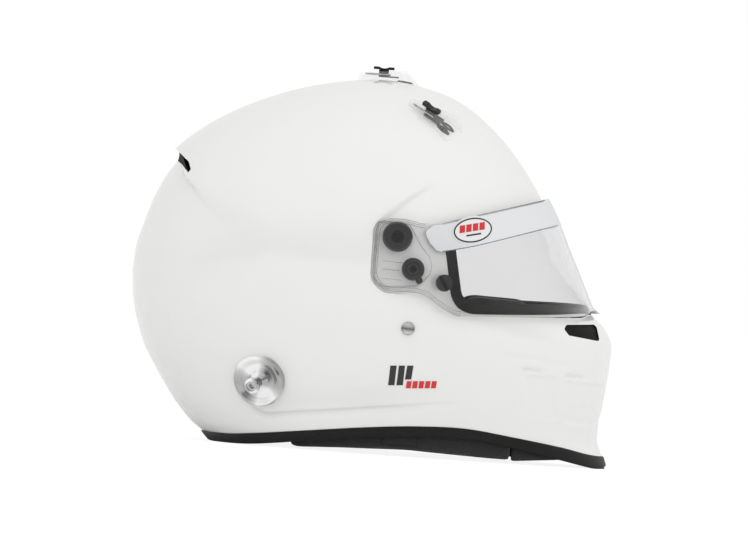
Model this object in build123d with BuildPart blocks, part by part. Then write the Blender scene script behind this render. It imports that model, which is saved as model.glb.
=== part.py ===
from build123d import *
from math import copysign, cos, pi, radians, sin, sqrt
import os

os.makedirs("parts", exist_ok=True)

# Overall sizes of the shell, mm
overall_length = 345.3
overall_width = 245
crown_height = 263.8

# The body's skin and how finely it is described
shell_wall = 3.0
section_step = 9
crown_cap = 0.9
ring_points = 32
fullness = 2.15
widest_share = -0.058
crown_share = -0.017
shoulder_share = 0.713

# Half profiles of the bare body: height of the crown height, rear and front of the length, side of the width
body_shares = (
    (-0.057, -0.284, 0.500, 0.400),
    (0.000, -0.317, 0.497, 0.409),
    (0.025, -0.334, 0.495, 0.412),
    (0.045, -0.355, 0.486, 0.415),
    (0.068, -0.373, 0.479, 0.419),
    (0.106, -0.398, 0.478, 0.427),
    (0.171, -0.432, 0.484, 0.444),
    (0.246, -0.466, 0.490, 0.464),
    (0.326, -0.488, 0.493, 0.481),
    (0.349, -0.492, 0.488, 0.485),
    (0.379, -0.496, 0.473, 0.490),
    (0.406, -0.498, 0.451, 0.493),
    (0.421, -0.499, 0.438, 0.495),
    (0.447, -0.500, 0.428, 0.497),
    (0.512, -0.496, 0.404, 0.500),
    (0.576, -0.483, 0.380, 0.498),
    (0.644, -0.466, 0.356, 0.487),
    (0.713, -0.440, 0.326, 0.465),
    (0.781, -0.400, 0.291, 0.428),
    (0.842, -0.343, 0.253, 0.380),
    (0.895, -0.282, 0.211, 0.321),
    (0.936, -0.220, 0.170, 0.257),
    (0.969, -0.153, 0.120, 0.184),
    (0.987, -0.096, 0.070, 0.117),
    (0.997, -0.052, 0.031, 0.065),
    (1.000, -0.017, -0.017, 0.000),
)

# The spoiler: how much further to the rear it stands than the bare body
spoiler_rise_shares = (
    (0.400, 0.0220),
    (0.713, 0.0220),
    (0.842, 0.0290),
    (0.936, 0.0180),
    (0.987, 0.0060),
    (0.997, 0.0000),
    (1.000, -0.0020),
)
spoiler_foot_share = 0.400
spoiler_tuck = 1.0
spoiler_line_shares = (
    (-0.560, 0.812),
    (-0.426, 0.771),
    (-0.399, 0.742),
    (-0.389, 0.707),
    (-0.362, 0.675),
    (-0.275, 0.591),
    (-0.188, 0.497),
    (-0.130, 0.425),
)

# Rear vent under the spoiler lip
rear_vent_half_width = 54
rear_vent_shares = (
    (-0.560, 0.812),
    (-0.426, 0.771),
    (-0.399, 0.742),
    (-0.389, 0.707),
    (-0.392, 0.704),
    (-0.414, 0.734),
    (-0.432, 0.749),
    (-0.560, 0.790),
)

# Lower edge and its rubber channel
trim_line_shares = (
    (-0.560, 0.025),
    (-0.290, 0.025),
    (-0.232, 0.032),
    (-0.116, 0.052),
    (0.000, 0.071),
    (0.101, 0.083),
    (0.203, 0.086),
    (0.304, 0.071),
    (0.405, 0.052),
    (0.458, 0.038),
    (0.487, 0.034),
    (0.560, 0.034),
)
trim_foot_shares = (
    (-0.560, 0.000),
    (-0.300, 0.000),
    (-0.232, 0.003),
    (-0.116, 0.023),
    (0.000, 0.042),
    (0.101, 0.054),
    (0.203, 0.057),
    (0.304, 0.042),
    (0.410, 0.016),
    (0.456, 0.004),
    (0.477, 0.000),
    (0.560, 0.000),
)
trim_bite = 4.5
trim_proud = 1.0
trim_inner_wall = 1.5

# Eye opening and its rubber seal
eyeport_shares = (
    (0.1405, 0.6065),
    (0.5500, 0.7752),
    (0.5500, 0.4113),
    (0.1709, 0.4113),
)
eyeport_upper_corner = 8
eyeport_lower_corner = 14
gasket_cover = 5.0
gasket_lip = 4.5
gasket_proud = 1.2
gasket_depth = 6.0

# Side pods, in which the shield's ears lie
pod_shares = (
    (-0.0156, 0.641),
    (0.174, 0.641),
    (0.174, 0.425),
    (0.0087, 0.425),
    (-0.0156, 0.455),
)
pod_corner = 6

# Shield
shield_wall = 3.0
shield_gap = 1.7
ear_inset = 0.2
shield_travel = 44
shield_corner = 2.4
shield_shares = (
    (-0.0093, 0.600),
    (-0.0015, 0.621),
    (0.0200, 0.632),
    (0.0520, 0.632),
    (0.0870, 0.623),
    (0.1270, 0.628),
    (0.1910, 0.654),
    (0.3450, 0.715),
    (0.5500, 0.796),
    (0.5500, 0.415),
    (0.4420, 0.415),
    (0.4260, 0.402),
    (0.3560, 0.396),
    (0.2660, 0.390),
    (0.1660, 0.383),
    (0.1350, 0.403),
    (0.1010, 0.433),
    (0.0830, 0.437),
    (0.0160, 0.436),
    (-0.0093, 0.466),
)

# Silver strip on the shield
strip_wall = 0.35
strip_corner = 1.2
strip_shares = (
    (0.0910, 0.602),
    (0.1100, 0.621),
    (0.1290, 0.624),
    (0.1910, 0.649),
    (0.3450, 0.710),
    (0.5500, 0.791),
    (0.5500, 0.722),
    (0.3570, 0.640),
    (0.2010, 0.574),
    (0.1570, 0.559),
    (0.1300, 0.551),
    (0.1180, 0.554),
    (0.1040, 0.572),
)

# Shield pivot
pivot_spot_share = (0.0371, 0.583)
pivot_head_radius = 10.6
pivot_head_height = 3.4
pivot_head_round = 1.6
pivot_shank_radius = 6.0
pivot_thread_radius = 3.0
pivot_socket_width = 5.0
pivot_socket_depth = 2.2
pivot_clearance = 0.08
running_gap = 0.3

# Detent cam and its screw
detent_arc_radius = 25.2
detent_angle = -60.3
detent_shank_radius = 3.2
detent_slot_clearance = 0.3
detent_bore_clearance = 0.06
cam_radius = 8.0
cam_height = 3.4
cam_round = 0.8
cam_tab_reach = 11.5
cam_tab_radius = 2.6
cam_tab_angle = -58
detent_head_radius = 4.4
detent_head_height = 2.6
detent_head_sink = 1.4
detent_socket_width = 4.0
detent_socket_depth = 1.8

# Side plate under the ear
side_plate_wall = 2.5
side_plate_corner = 2.0
side_plate_shares = (
    (-0.0060, 0.621),
    (0.0600, 0.621),
    (0.0733, 0.597),
    (0.0869, 0.566),
    (0.1060, 0.538),
    (0.1130, 0.512),
    (0.1100, 0.489),
    (0.0980, 0.468),
    (0.0810, 0.453),
    (0.0160, 0.444),
    (-0.0060, 0.465),
)

# Tear-off posts on the shield
tearoff_spot_share = (0.1347, 0.4693)
tearoff_foot_radius = 5.0
tearoff_foot_height = 1.6
tearoff_waist_radius = 3.6
tearoff_waist_height = 2.0
tearoff_head_radius = 6.0
tearoff_head_height = 2.2
tearoff_slot_width = 1.4
tearoff_slot_depth = 0.8
tearoff_slot_angle = -54
tearoff_stem_radius = 2.6

# Strap rivets
rivet_spot_share = (0.0718, 0.342)
rivet_head_radius = 4.75
rivet_head_height = 2.2
rivet_shank_radius = 2.2
rivet_dome_share = 0.85

# Head restraint anchors
anchor_spot_share = (-0.2215, 0.1751)
anchor_lean = (-0.38, -0.87, -0.33)
dish_radius = 18.5
dish_height = 4.2
dish_edge = 1.2
dish_floor_radius = 12.3
dish_floor_height = 2.0
dish_skirt = 6.0
post_root_radius = 7.6
post_root_height = 5.2
post_neck_radius = 3.9
post_neck_height = 10.6
post_head_radius = 5.6
post_head_height = 14.2
post_chamfer = 0.6
anchor_screw_radius = 3.7
anchor_screw_sink = 0.8
anchor_socket_width = 4.0
anchor_socket_depth = 2.2

# Top vents: the cover's place on the shell and its own sizes
centre_vent_share = (-0.0180, 0.9925)
side_vent_rear_share = (0.0130, 0.953)
side_vent_front_share = (0.1430, 0.855)
vent_length = 53.2
vent_half_width = 12.5
vent_tip_radius = 3.0
vent_corner_radius = 4.0
vent_wall = 1.6
vent_skirt = 8.0
vent_height = 9.0
vent_roof_shares = (
    (-0.500, 0.320),
    (-0.415, 0.400),
    (-0.300, 0.610),
    (-0.180, 0.790),
    (0.190, 0.980),
    (0.310, 1.000),
    (0.365, 0.900),
    (0.420, 0.550),
    (0.500, -0.100),
)
vent_seat = 0.3

# Slider of a top vent
slider_travel = 8.0
toggle_length = 14.7
toggle_width = 4.6
toggle_place_share = 0.020
toggle_foot = 0.3
toggle_rise = 1.9
toggle_saddle = 1.0
toggle_round_share = 0.3
stem_length = 7.0
stem_width = 2.4
shutter_rear_share = -0.020
shutter_length = 13.0
shutter_half_width = 3.9
shutter_bottom = 3.9
shutter_height = 0.9
slider_clearance = 0.3

# Ports through the shell below a top vent
port_length = 8.0
port_width = 3.0
port_rear_share = 0.237
port_web = 1.4

# Steel guide pins of the top vents
guide_pin_radius = 0.7
guide_pin_length = 18.0
guide_pin_rear_share = -0.225
guide_pin_side = 2.2
guide_pin_height = 5.7

# Chin vents
chin_vent_corner = 1.0
chin_vent_shares = (
    (0.390, 0.369),
    (0.394, 0.381),
    (0.452, 0.386),
    (0.458, 0.379),
    (0.466, 0.342),
    (0.401, 0.353),
)
mesh_sink = 1.2
mesh_wall = 0.9

# Foam and fabric inside
layer_gap = 0.3
head_centre_share = (-0.0724, 0.485)
head_half_length = 103
head_half_width = 78
head_rise = 94
head_sections = 9
comfort_wall = 8.4
liner_shares = (
    (-0.560, 0.190),
    (-0.162, 0.190),
    (-0.162, 0.398),
    (0.118, 0.398),
    (0.118, 0.620),
    (0.560, 0.800),
    (0.560, 1.100),
    (-0.560, 1.100),
)

cheek_inner = 58
cheek_middle_share = (0.075, 0.197)
cheek_crown_depth = 42
cheek_crown_length = 95
cheek_crown_height = 90
cheek_shares = (
    (-0.151, 0.004),
    (-0.058, 0.011),
    (0.087, 0.017),
    (0.203, 0.012),
    (0.281, 0.009),
    (0.304, 0.013),
    (0.304, 0.400),
    (0.285, 0.434),
    (0.195, 0.440),
    (0.150, 0.385),
    (-0.151, 0.385),
)
cheek_corner = 4

neck_centre_share = -0.0434
neck_half_length = 78
neck_half_width = 60
neck_roll_top_share = 0.156
neck_roll_front_share = -0.168
neck_roll_bottom = 0.4

chin_foam_rear_share = 0.312
chin_foam_bottom_share = 0.114
chin_foam_top_share = 0.330
chin_hollow_length = 143
chin_hollow_width = 89

curtain_rear_share = 0.313
curtain_bottom = 2.0
curtain_top_share = 0.100
curtain_wall = 2.6

# Chin straps and their D rings
strap_width = 25
strap_wall = 1.6
strap_top_share = 0.368
strap_low = 7.6
short_strap_top = 58
long_strap_top = 92
strap_loop_radius = 2.9
strap_channel_clearance = 0.5
ring_bar_radius = 1.2
ring_inner_half_width = 13.3
ring_drop = 16
ring_round = 8
ring_spacing = 2.6

# One overrun serves all cuts
overrun = 40


def smooth(table, place, column=1):
    """Read a column of a table at any place, along smooth curves through its rows."""
    places = [row[0] for row in table]
    values = [row[column] for row in table]
    last = len(table) - 1
    first = max([k for k in range(last) if places[k] <= place] or [0])
    step = places[first + 1] - places[first]
    part = (place - places[first]) / step

    def slope(k):
        before, after = max(k - 1, 0), min(k + 1, last)
        return (values[after] - values[before]) / (places[after] - places[before]) * step

    rise = values[first + 1] - values[first]
    bend = part * part * (3 - 2 * part)
    lean_in = part * (1 - part) ** 2 * slope(first)
    lean_out = part * part * (part - 1) * slope(first + 1)
    return values[first] + bend * rise + lean_in + lean_out


def half_profile(column, outward, grow, spoiler):
    """One half profile of the body in mm, grown along its normals, as (place below the crown, reach)."""
    size = overall_width if column == 3 else overall_length
    line = []
    for row in body_shares:
        reach = size * row[column]
        if spoiler and column == 1 and row[0] >= spoiler_foot_share:
            reach -= overall_length * smooth(spoiler_rise_shares, row[0])
        line.append((crown_height * row[0], reach))
    grown = []
    for k, (height, reach) in enumerate(line[:-1]):
        below, above = line[max(k - 1, 0)], line[k + 1]
        up, out = above[0] - below[0], outward * (above[1] - below[1])
        run = sqrt(up * up + out * out)
        grown.append((height - grow * out / run, reach + outward * grow * up / run))
    grown.append((line[-1][0] + grow, line[-1][1]))
    top = grown[-1][0]
    return [(-sqrt(max(top - height, 0)), reach) for height, reach in grown]


def body_profiles(grow=0, spoiler=False):
    """Rear, front and side half profiles of the body, grown outward."""
    sides = ((1, -1), (2, 1), (3, 1))
    return [half_profile(column, outward, grow, spoiler) for column, outward in sides]


def section_reach(profiles, height, grow):
    """Rear end, front end, half width and widest place of the body's section at a height."""
    place = -sqrt(max(crown_height + grow - height, 0))
    rear, front, side = [smooth(profile, place) for profile in profiles]
    rise = min(max(height / crown_height - shoulder_share, 0) / (1 - shoulder_share), 1)
    widest = overall_length * (widest_share + (crown_share - widest_share) * rise)
    return rear, front, side, widest


def section_points(profiles, height, grow, tuck=0):
    """Points round the body's section at a height: two half ovals that meet at the widest place."""
    rear, front, side, widest = section_reach(profiles, height, grow)
    side -= tuck
    points = []
    for k in range(ring_points):
        turn = 2 * pi * k / ring_points
        along, across = cos(turn), sin(turn)
        reach = front - widest if along >= 0 else widest - rear
        x = widest + copysign(abs(along) ** (2 / fullness), along) * reach
        y = copysign(abs(across) ** (2 / fullness), across) * side
        points.append((x, y))
    return points


def section_heights(grow, foot_share):
    """Heights of the sections, closer where the body's table is closer."""
    scale_up = (crown_height + grow) / crown_height
    rows = [row[0] for row in body_shares if row[0] >= foot_share][:-1]
    heights = []
    for low, high in zip(rows, rows[1:]):
        steps = max(round((high - low) * crown_height / section_step), 1)
        for k in range(steps):
            share = low + (high - low) * k / steps
            heights.append(crown_height * share * (scale_up if share > 0 else 1))
    heights[0] += min(grow, 0)
    heights.append(crown_height + grow - crown_cap)
    return heights


def helmet_form(grow=0, spoiler=False):
    """The closed form of the helmet's body, grown outward, or the same with the spoiler's fuller rear."""
    profiles = body_profiles(grow, spoiler)
    foot_share = spoiler_foot_share if spoiler else body_shares[0][0]
    tuck = spoiler_tuck if spoiler else 0
    ring_places = [k / ring_points for k in range(ring_points + 1)]
    with BuildPart() as form:
        for height in section_heights(grow, foot_share):
            points = section_points(profiles, height, grow, tuck)
            ring = Edge.make_spline(points, periodic=True, parameters=ring_places)
            with BuildSketch(Plane.XY.offset(height)):
                with BuildLine():
                    add(ring)
                make_face()
        loft()
    return form.part


def side_reach(x, z, grow=0):
    """Distance from the middle plane to the body's side at a place of the side view."""
    rear, front, side, widest = section_reach(body_profiles(grow), z, grow)
    reach = front - widest if x >= widest else widest - rear
    return side * (1 - min(abs(x - widest) / reach, 1) ** fullness) ** (1 / fullness)


def side_normal(x, z):
    """Outward normal of the body's right side at a place of the side view."""
    step = shell_wall
    along = (side_reach(x + step, z) - side_reach(x - step, z)) / (2 * step)
    up = (side_reach(x, z + step) - side_reach(x, z - step)) / (2 * step)
    return Vector(-along, -1, -up).normalized()


def spot(share):
    """A place of the side view in mm from its shares of the length and the crown height."""
    return overall_length * share[0], crown_height * share[1]


def spots(shares):
    """A side-view outline in mm."""
    return [spot(share) for share in shares]


def side_face(shares, grow=0, corner=0):
    """A face in the side view with straight or softly rounded corners, grown outward."""
    with BuildSketch(Plane.XZ) as face:
        with BuildLine():
            Polyline(*spots(shares), close=True)
        make_face()
        if corner:
            fillet(face.vertices(), corner)
        if grow:
            offset(amount=grow)
    return face.sketch


def eyeport_face(grow=0):
    """The eye opening's outline in the side view, grown outward."""
    with BuildSketch(Plane.XZ) as face:
        with BuildLine():
            Polyline(*spots(eyeport_shares), close=True)
        make_face()
        fillet(face.vertices().sort_by(Axis.Y)[:2].sort_by(Axis.X)[0], eyeport_lower_corner)
        fillet(face.vertices().sort_by(Axis.X)[0], eyeport_upper_corner)
        if grow:
            offset(amount=grow)
    return face.sketch


def through(face, near=0):
    """A side-view face pushed out through the right side from a distance off the middle plane."""
    reach = overall_width / 2 + overrun - near
    with BuildPart() as block:
        extrude(face.moved(Location((0, -near, 0))), reach)
    return block.part


def both(piece):
    """A right-hand piece with its mirror image."""
    return piece + mirror(piece, about=Plane.XZ)


def keep(piece, name):
    """Label a finished piece and write it."""
    piece.label = name
    export_step(piece, f"parts/{name}.step")


def keep_pair(piece, name):
    """Write a right-hand piece and its mirror image."""
    keep(piece, f"{name}_right")
    keep(mirror(piece, about=Plane.XZ), f"{name}_left")


# Distances off the middle plane of the layers at the shield's ears
half_width = overall_width / 2
ear_outer = half_width - ear_inset
ear_inner = ear_outer - shield_wall
plate_outer = ear_inner - running_gap
pod_floor = plate_outer - side_plate_wall
pod_inside = pod_floor - shell_wall
trim_inside = shell_wall + trim_inner_wall + layer_gap
strap_outer = trim_inside
cheek_outer_gap = strap_outer + strap_wall + layer_gap

# Places on the right side
pivot_x, pivot_z = spot(pivot_spot_share)
detent_x = pivot_x + detent_arc_radius * cos(radians(detent_angle))
detent_z = pivot_z + detent_arc_radius * sin(radians(detent_angle))
pivot_plane = Plane(origin=(pivot_x, 0, pivot_z), x_dir=(1, 0, 0), z_dir=(0, -1, 0))
detent_plane = Plane(origin=(detent_x, 0, detent_z), x_dir=(1, 0, 0), z_dir=(0, -1, 0))


def side_plane(share, grow=0, lean=None):
    """A plane on the body's right side, facing outward or along a given lean."""
    x, z = spot(share)
    return Plane(origin=(x, -side_reach(x, z, grow), z), z_dir=lean or side_normal(x, z))


rivet_plane = side_plane(rivet_spot_share)
anchor_plane = side_plane(anchor_spot_share, lean=anchor_lean)
tearoff_plane = side_plane(tearoff_spot_share, grow=shield_gap + shield_wall)


def vent_plane(rear_share, front_share):
    """The base plane of a side top vent: its X along the vent to the front, its Z off the shell."""
    ends = [side_plane(share).origin for share in (rear_share, front_share)]
    middle = (ends[0] + ends[1]) / 2
    along = (ends[1] - ends[0]).normalized()
    across = side_normal(middle.X, middle.Z).cross(along).normalized()
    return Plane(origin=middle, x_dir=along, z_dir=along.cross(across))


centre_x, centre_z = spot(centre_vent_share)
side_vent_plane = vent_plane(side_vent_rear_share, side_vent_front_share)
vent_planes = {
    "centre": Plane(origin=(centre_x, 0, centre_z)),
    "right": side_vent_plane,
    "left": Plane(
        origin=(side_vent_plane.origin.X, -side_vent_plane.origin.Y, side_vent_plane.origin.Z),
        x_dir=(side_vent_plane.x_dir.X, -side_vent_plane.x_dir.Y, side_vent_plane.x_dir.Z),
        z_dir=(side_vent_plane.z_dir.X, -side_vent_plane.z_dir.Y, side_vent_plane.z_dir.Z),
    ),
}

# The forms and outlines that several pieces share
bare_form = helmet_form()
under_shell = helmet_form(-shell_wall - layer_gap)
pod_face = side_face(pod_shares, corner=pod_corner)
pod_back_face = side_face(pod_shares, corner=pod_corner, grow=shell_wall)
pod_clear_face = side_face(pod_shares, corner=pod_corner, grow=shell_wall + layer_gap)
chin_vent_face = side_face(chin_vent_shares, corner=chin_vent_corner)
rear_vent_face = side_face(rear_vent_shares)


def below(shares, drop=0):
    """Everything under a line of the side view, on both sides of the middle plane."""
    line = spots(shares)
    floor = -overrun
    with BuildSketch(Plane.XZ) as face:
        with BuildLine():
            Spline(*[(x, z - drop) for x, z in line])
            last = line[-1]
            first = line[0]
            start = (last[0], last[1] - drop)
            end = (first[0], first[1] - drop)
            Polyline(start, (last[0], floor), (first[0], floor), end)
        make_face()
    return both(through(face.sketch))


def port_cutter(depth):
    """The two ports of a top vent, in the vent's own frame, cut down to a depth."""
    with BuildPart() as cutter:
        with BuildSketch(Plane.XY.offset(-depth)):
            start = vent_length * port_rear_share
            aside = (port_web + port_width) / 2
            with Locations((start + port_length / 2, aside), (start + port_length / 2, -aside)):
                SlotOverall(port_length, port_width)
        extrude(amount=depth + vent_height)
    return cutter.part


ports = [plane.location * port_cutter(overrun) for plane in vent_planes.values()]

# Shell: one moulded skin with the spoiler, the pods, and every opening
spoiler_line = spots(spoiler_line_shares)
sky = crown_height + overrun
with BuildPart() as spoiler_region:
    with BuildSketch(Plane.XZ) as region:
        with BuildLine():
            Polyline(*spoiler_line, (spoiler_line[-1][0], sky), (spoiler_line[0][0], sky), close=True)
        make_face()
    extrude(amount=overall_width, both=True)
with BuildPart() as rear_slot:
    extrude(rear_vent_face, amount=rear_vent_half_width, both=True)
with BuildPart() as side_holes:
    with Locations(pivot_plane):
        Cylinder(pivot_thread_radius, half_width, align=(Align.CENTER, Align.CENTER, Align.MIN))
    with Locations(detent_plane):
        Cylinder(detent_shank_radius, half_width, align=(Align.CENTER, Align.CENTER, Align.MIN))
    with Locations(rivet_plane):
        Cylinder(rivet_shank_radius, overrun)
    with Locations(anchor_plane):
        Cylinder(anchor_screw_radius, overrun)
inner_form = helmet_form(-shell_wall)
pod_backs = both(through(pod_back_face, near=pod_inside))
with BuildPart() as hollow:
    add(inner_form)
    add(pod_backs, mode=Mode.SUBTRACT)
spoiler_form = helmet_form(spoiler=True)
pod_cutter = both(through(pod_face, near=pod_floor))
shell_foot = below(trim_line_shares, drop=trim_bite)
eyeport_cutter = both(through(eyeport_face()))
chin_vent_cutter = both(through(chin_vent_face))
hole_cutter = both(side_holes.part)
with BuildPart() as shell:
    add(spoiler_form)
    add(spoiler_region.part, mode=Mode.INTERSECT)
    add(bare_form)
    add(pod_cutter, mode=Mode.SUBTRACT)
    add(hollow.part, mode=Mode.SUBTRACT)
    add(shell_foot, mode=Mode.SUBTRACT)
    add(eyeport_cutter, mode=Mode.SUBTRACT)
    add(chin_vent_cutter, mode=Mode.SUBTRACT)
    add(rear_slot.part, mode=Mode.SUBTRACT)
    add(hole_cutter, mode=Mode.SUBTRACT)
    for port in ports:
        add(port, mode=Mode.SUBTRACT)
keep(shell.part, "shell")


def layer(region, outer, inner):
    """The part of a region that lies between two grown forms of the helmet's body."""
    outer_form = helmet_form(outer)
    inner_form = helmet_form(inner)
    with BuildPart() as skin:
        add(outer_form)
        add(region, mode=Mode.INTERSECT)
        add(inner_form, mode=Mode.SUBTRACT)
    return skin.part


def slab(reach_out, reach_in=0):
    """Everything on both sides between two distances off the middle plane."""
    height = crown_height + overrun
    with BuildPart() as block:
        with BuildSketch(Plane.XY.offset(-overrun)):
            Rectangle(2 * overall_length, 2 * reach_out)
            if reach_in:
                Rectangle(2 * overall_length, 2 * reach_in, mode=Mode.SUBTRACT)
        extrude(amount=height + overrun)
    return block.part


def block_between(low, high):
    """A plain block between two corners."""
    size = [high[k] - low[k] for k in range(3)]
    middle = [(high[k] + low[k]) / 2 for k in range(3)]
    return Pos(*middle) * Box(*size, mode=Mode.PRIVATE)


def ring_face(outer_grow, inner_grow):
    """The eye opening's border in the side view, between two grown outlines."""
    return eyeport_face(outer_grow) - eyeport_face(inner_grow)


# Edge trim: a rubber channel that the shell's lower edge stands in
trim_under = below(trim_line_shares)
trim_foot = below(trim_foot_shares)
with BuildPart() as trim_band:
    add(trim_under)
    add(trim_foot, mode=Mode.SUBTRACT)
with BuildPart() as trim_groove:
    add(trim_band.part)
    add(shell_foot, mode=Mode.SUBTRACT)
trim_body = layer(trim_band.part, trim_proud, -shell_wall - trim_inner_wall)
trim_channel = layer(trim_groove.part, 0, -shell_wall)
with BuildPart() as edge_trim:
    add(trim_body)
    add(trim_channel, mode=Mode.SUBTRACT)
    split(bisect_by=Plane.XY, keep=Keep.TOP)
keep(edge_trim.part, "edge_trim")

# Eyeport gasket: a rubber seal over both faces of the shell's edge
gasket_band = both(through(ring_face(gasket_cover, -gasket_lip)))
gasket_groove = both(through(ring_face(gasket_cover, 0)))
gasket_body = layer(gasket_band, gasket_proud, -gasket_depth)
gasket_channel = layer(gasket_groove, 0, -shell_wall)
with BuildPart() as eyeport_gasket:
    add(gasket_body)
    add(gasket_channel, mode=Mode.SUBTRACT)
keep(eyeport_gasket.part, "eyeport_gasket")

# Shield: a clear layer off the shell, flat at its two ears
shield_face = side_face(shield_shares, corner=shield_corner)
with BuildLine() as slot_line:
    CenterArc((0, 0), detent_arc_radius, detent_angle - shield_travel, shield_travel)
with BuildPart() as ear_holes:
    with BuildSketch(pivot_plane):
        Circle(pivot_shank_radius + pivot_clearance)
        SlotArc(slot_line.wires()[0], 2 * (detent_shank_radius + detent_slot_clearance))
    extrude(amount=half_width + overrun)
    with Locations(tearoff_plane):
        Cylinder(tearoff_stem_radius, overrun)
shield_outer = helmet_form(shield_gap + shield_wall)
shield_inner = helmet_form(shield_gap) & slab(ear_inner)
shield_region = both(through(shield_face)) & slab(ear_outer)
ear_cutter = both(ear_holes.part)
with BuildPart() as shield:
    add(shield_outer)
    add(shield_region, mode=Mode.INTERSECT)
    add(shield_inner, mode=Mode.SUBTRACT)
    add(ear_cutter, mode=Mode.SUBTRACT)
keep(shield.part, "shield")

# Silver strip: a thin band on the shield's outer face
strip_face = side_face(strip_shares, corner=strip_corner)
strip_outer = helmet_form(shield_gap + shield_wall + strip_wall)
strip_inner = shield_outer & slab(ear_outer)
strip_region = both(through(strip_face)) & slab(ear_outer + strip_wall)
with BuildPart() as shield_strip:
    add(strip_outer)
    add(strip_region, mode=Mode.INTERSECT)
    add(strip_inner, mode=Mode.SUBTRACT)
keep(shield_strip.part, "shield_strip")

# Side plates: they carry the pivots and lie on the pod floors
plate_face = side_face(side_plate_shares, corner=side_plate_corner)
plate_form = helmet_form(shield_gap - running_gap)
with BuildPart() as side_plate:
    extrude(plate_face.moved(Location((0, -pod_floor, 0))), amount=side_plate_wall)
    add(plate_form, mode=Mode.INTERSECT)
    with Locations(pivot_plane):
        Cylinder(pivot_thread_radius, 2 * half_width, mode=Mode.SUBTRACT)
    with Locations(detent_plane):
        Cylinder(detent_shank_radius, 2 * half_width, mode=Mode.SUBTRACT)
keep_pair(side_plate.part, "side_plate")

# Shield pivots: a domed head over the ear, a shank that the ear turns on, and a thread into the shell
head_foot = ear_outer + running_gap
with BuildPart() as pivot_screw:
    with BuildSketch(pivot_plane.offset(head_foot)):
        Circle(pivot_head_radius)
    extrude(amount=pivot_head_height)
    fillet(pivot_screw.edges().sort_by(Axis.Y)[0], pivot_head_round)
    with BuildSketch(pivot_plane.offset(plate_outer)):
        Circle(pivot_shank_radius)
    extrude(amount=head_foot - plate_outer)
    with BuildSketch(pivot_plane.offset(pod_inside)):
        Circle(pivot_thread_radius)
    extrude(amount=plate_outer - pod_inside)
    with BuildSketch(pivot_plane.offset(head_foot + pivot_head_height - pivot_socket_depth)):
        RegularPolygon(pivot_socket_width / 2, 6, major_radius=False)
    extrude(amount=pivot_socket_depth, mode=Mode.SUBTRACT)
keep_pair(pivot_screw.part, "pivot_screw")

# Detent cams: discs with a finger tab that turn on their screws over the ear's arc slot
tab_x = (cam_tab_reach - cam_tab_radius) * cos(radians(cam_tab_angle))
tab_y = (cam_tab_reach - cam_tab_radius) * sin(radians(cam_tab_angle))
with BuildPart() as detent_cam:
    with BuildSketch(detent_plane.offset(head_foot)):
        Circle(cam_radius)
        with Locations((tab_x, tab_y)):
            Circle(cam_tab_radius)
        Circle(detent_shank_radius + detent_bore_clearance, mode=Mode.SUBTRACT)
    extrude(amount=cam_height)
    chamfer(detent_cam.faces().sort_by(Axis.Y)[0].outer_wire().edges(), cam_round)
    with BuildSketch(detent_plane.offset(head_foot + cam_height - detent_head_sink)):
        Circle(detent_head_radius + running_gap)
    extrude(amount=detent_head_sink, mode=Mode.SUBTRACT)
keep_pair(detent_cam.part, "detent_cam")

# Detent screws
screw_seat = head_foot + cam_height - detent_head_sink + running_gap / 2
with BuildPart() as detent_screw:
    with BuildSketch(detent_plane.offset(screw_seat)):
        Circle(detent_head_radius)
    extrude(amount=detent_head_height)
    with BuildSketch(detent_plane.offset(pod_inside)):
        Circle(detent_shank_radius)
    extrude(amount=screw_seat - pod_inside)
    with BuildSketch(detent_plane.offset(screw_seat + detent_head_height - detent_socket_depth)):
        RegularPolygon(detent_socket_width / 2, 6, major_radius=False)
    extrude(amount=detent_socket_depth, mode=Mode.SUBTRACT)
keep_pair(detent_screw.part, "detent_screw")

# Tear-off posts: turned studs on the shield with a slotted head
waist_top = tearoff_foot_height + tearoff_waist_height
head_top = waist_top + tearoff_head_height
with BuildPart() as tearoff_post:
    with BuildSketch(tearoff_plane.offset(-shield_wall)):
        Circle(tearoff_stem_radius)
    extrude(amount=shield_wall + tearoff_foot_height)
    with BuildSketch(tearoff_plane.offset(-shield_wall / 2)):
        Circle(tearoff_foot_radius)
    extrude(amount=shield_wall / 2 + tearoff_foot_height)
    add(shield.part, mode=Mode.SUBTRACT)
    with BuildSketch(tearoff_plane.offset(tearoff_foot_height)):
        Circle(tearoff_waist_radius)
    extrude(amount=tearoff_waist_height)
    with BuildSketch(tearoff_plane.offset(waist_top)):
        Circle(tearoff_head_radius)
    extrude(amount=tearoff_head_height)
    with BuildSketch(tearoff_plane.offset(head_top - tearoff_slot_depth)):
        Rectangle(2 * tearoff_head_radius, tearoff_slot_width, rotation=tearoff_slot_angle)
    extrude(amount=tearoff_slot_depth, mode=Mode.SUBTRACT)
keep_pair(tearoff_post.part, "tearoff_post")

# Strap rivets: a domed head outside, a shank through shell and strap
with BuildPart() as strap_rivet:
    with BuildSketch(rivet_plane):
        Circle(rivet_head_radius)
    extrude(amount=rivet_head_height)
    fillet(strap_rivet.faces().sort_by(Axis.Y)[0].edges(), rivet_head_height * rivet_dome_share)
    with BuildSketch(rivet_plane.offset(-strap_outer - strap_wall)):
        Circle(rivet_shank_radius)
    extrude(amount=strap_outer + strap_wall)
keep_pair(strap_rivet.part, "strap_rivet")

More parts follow.
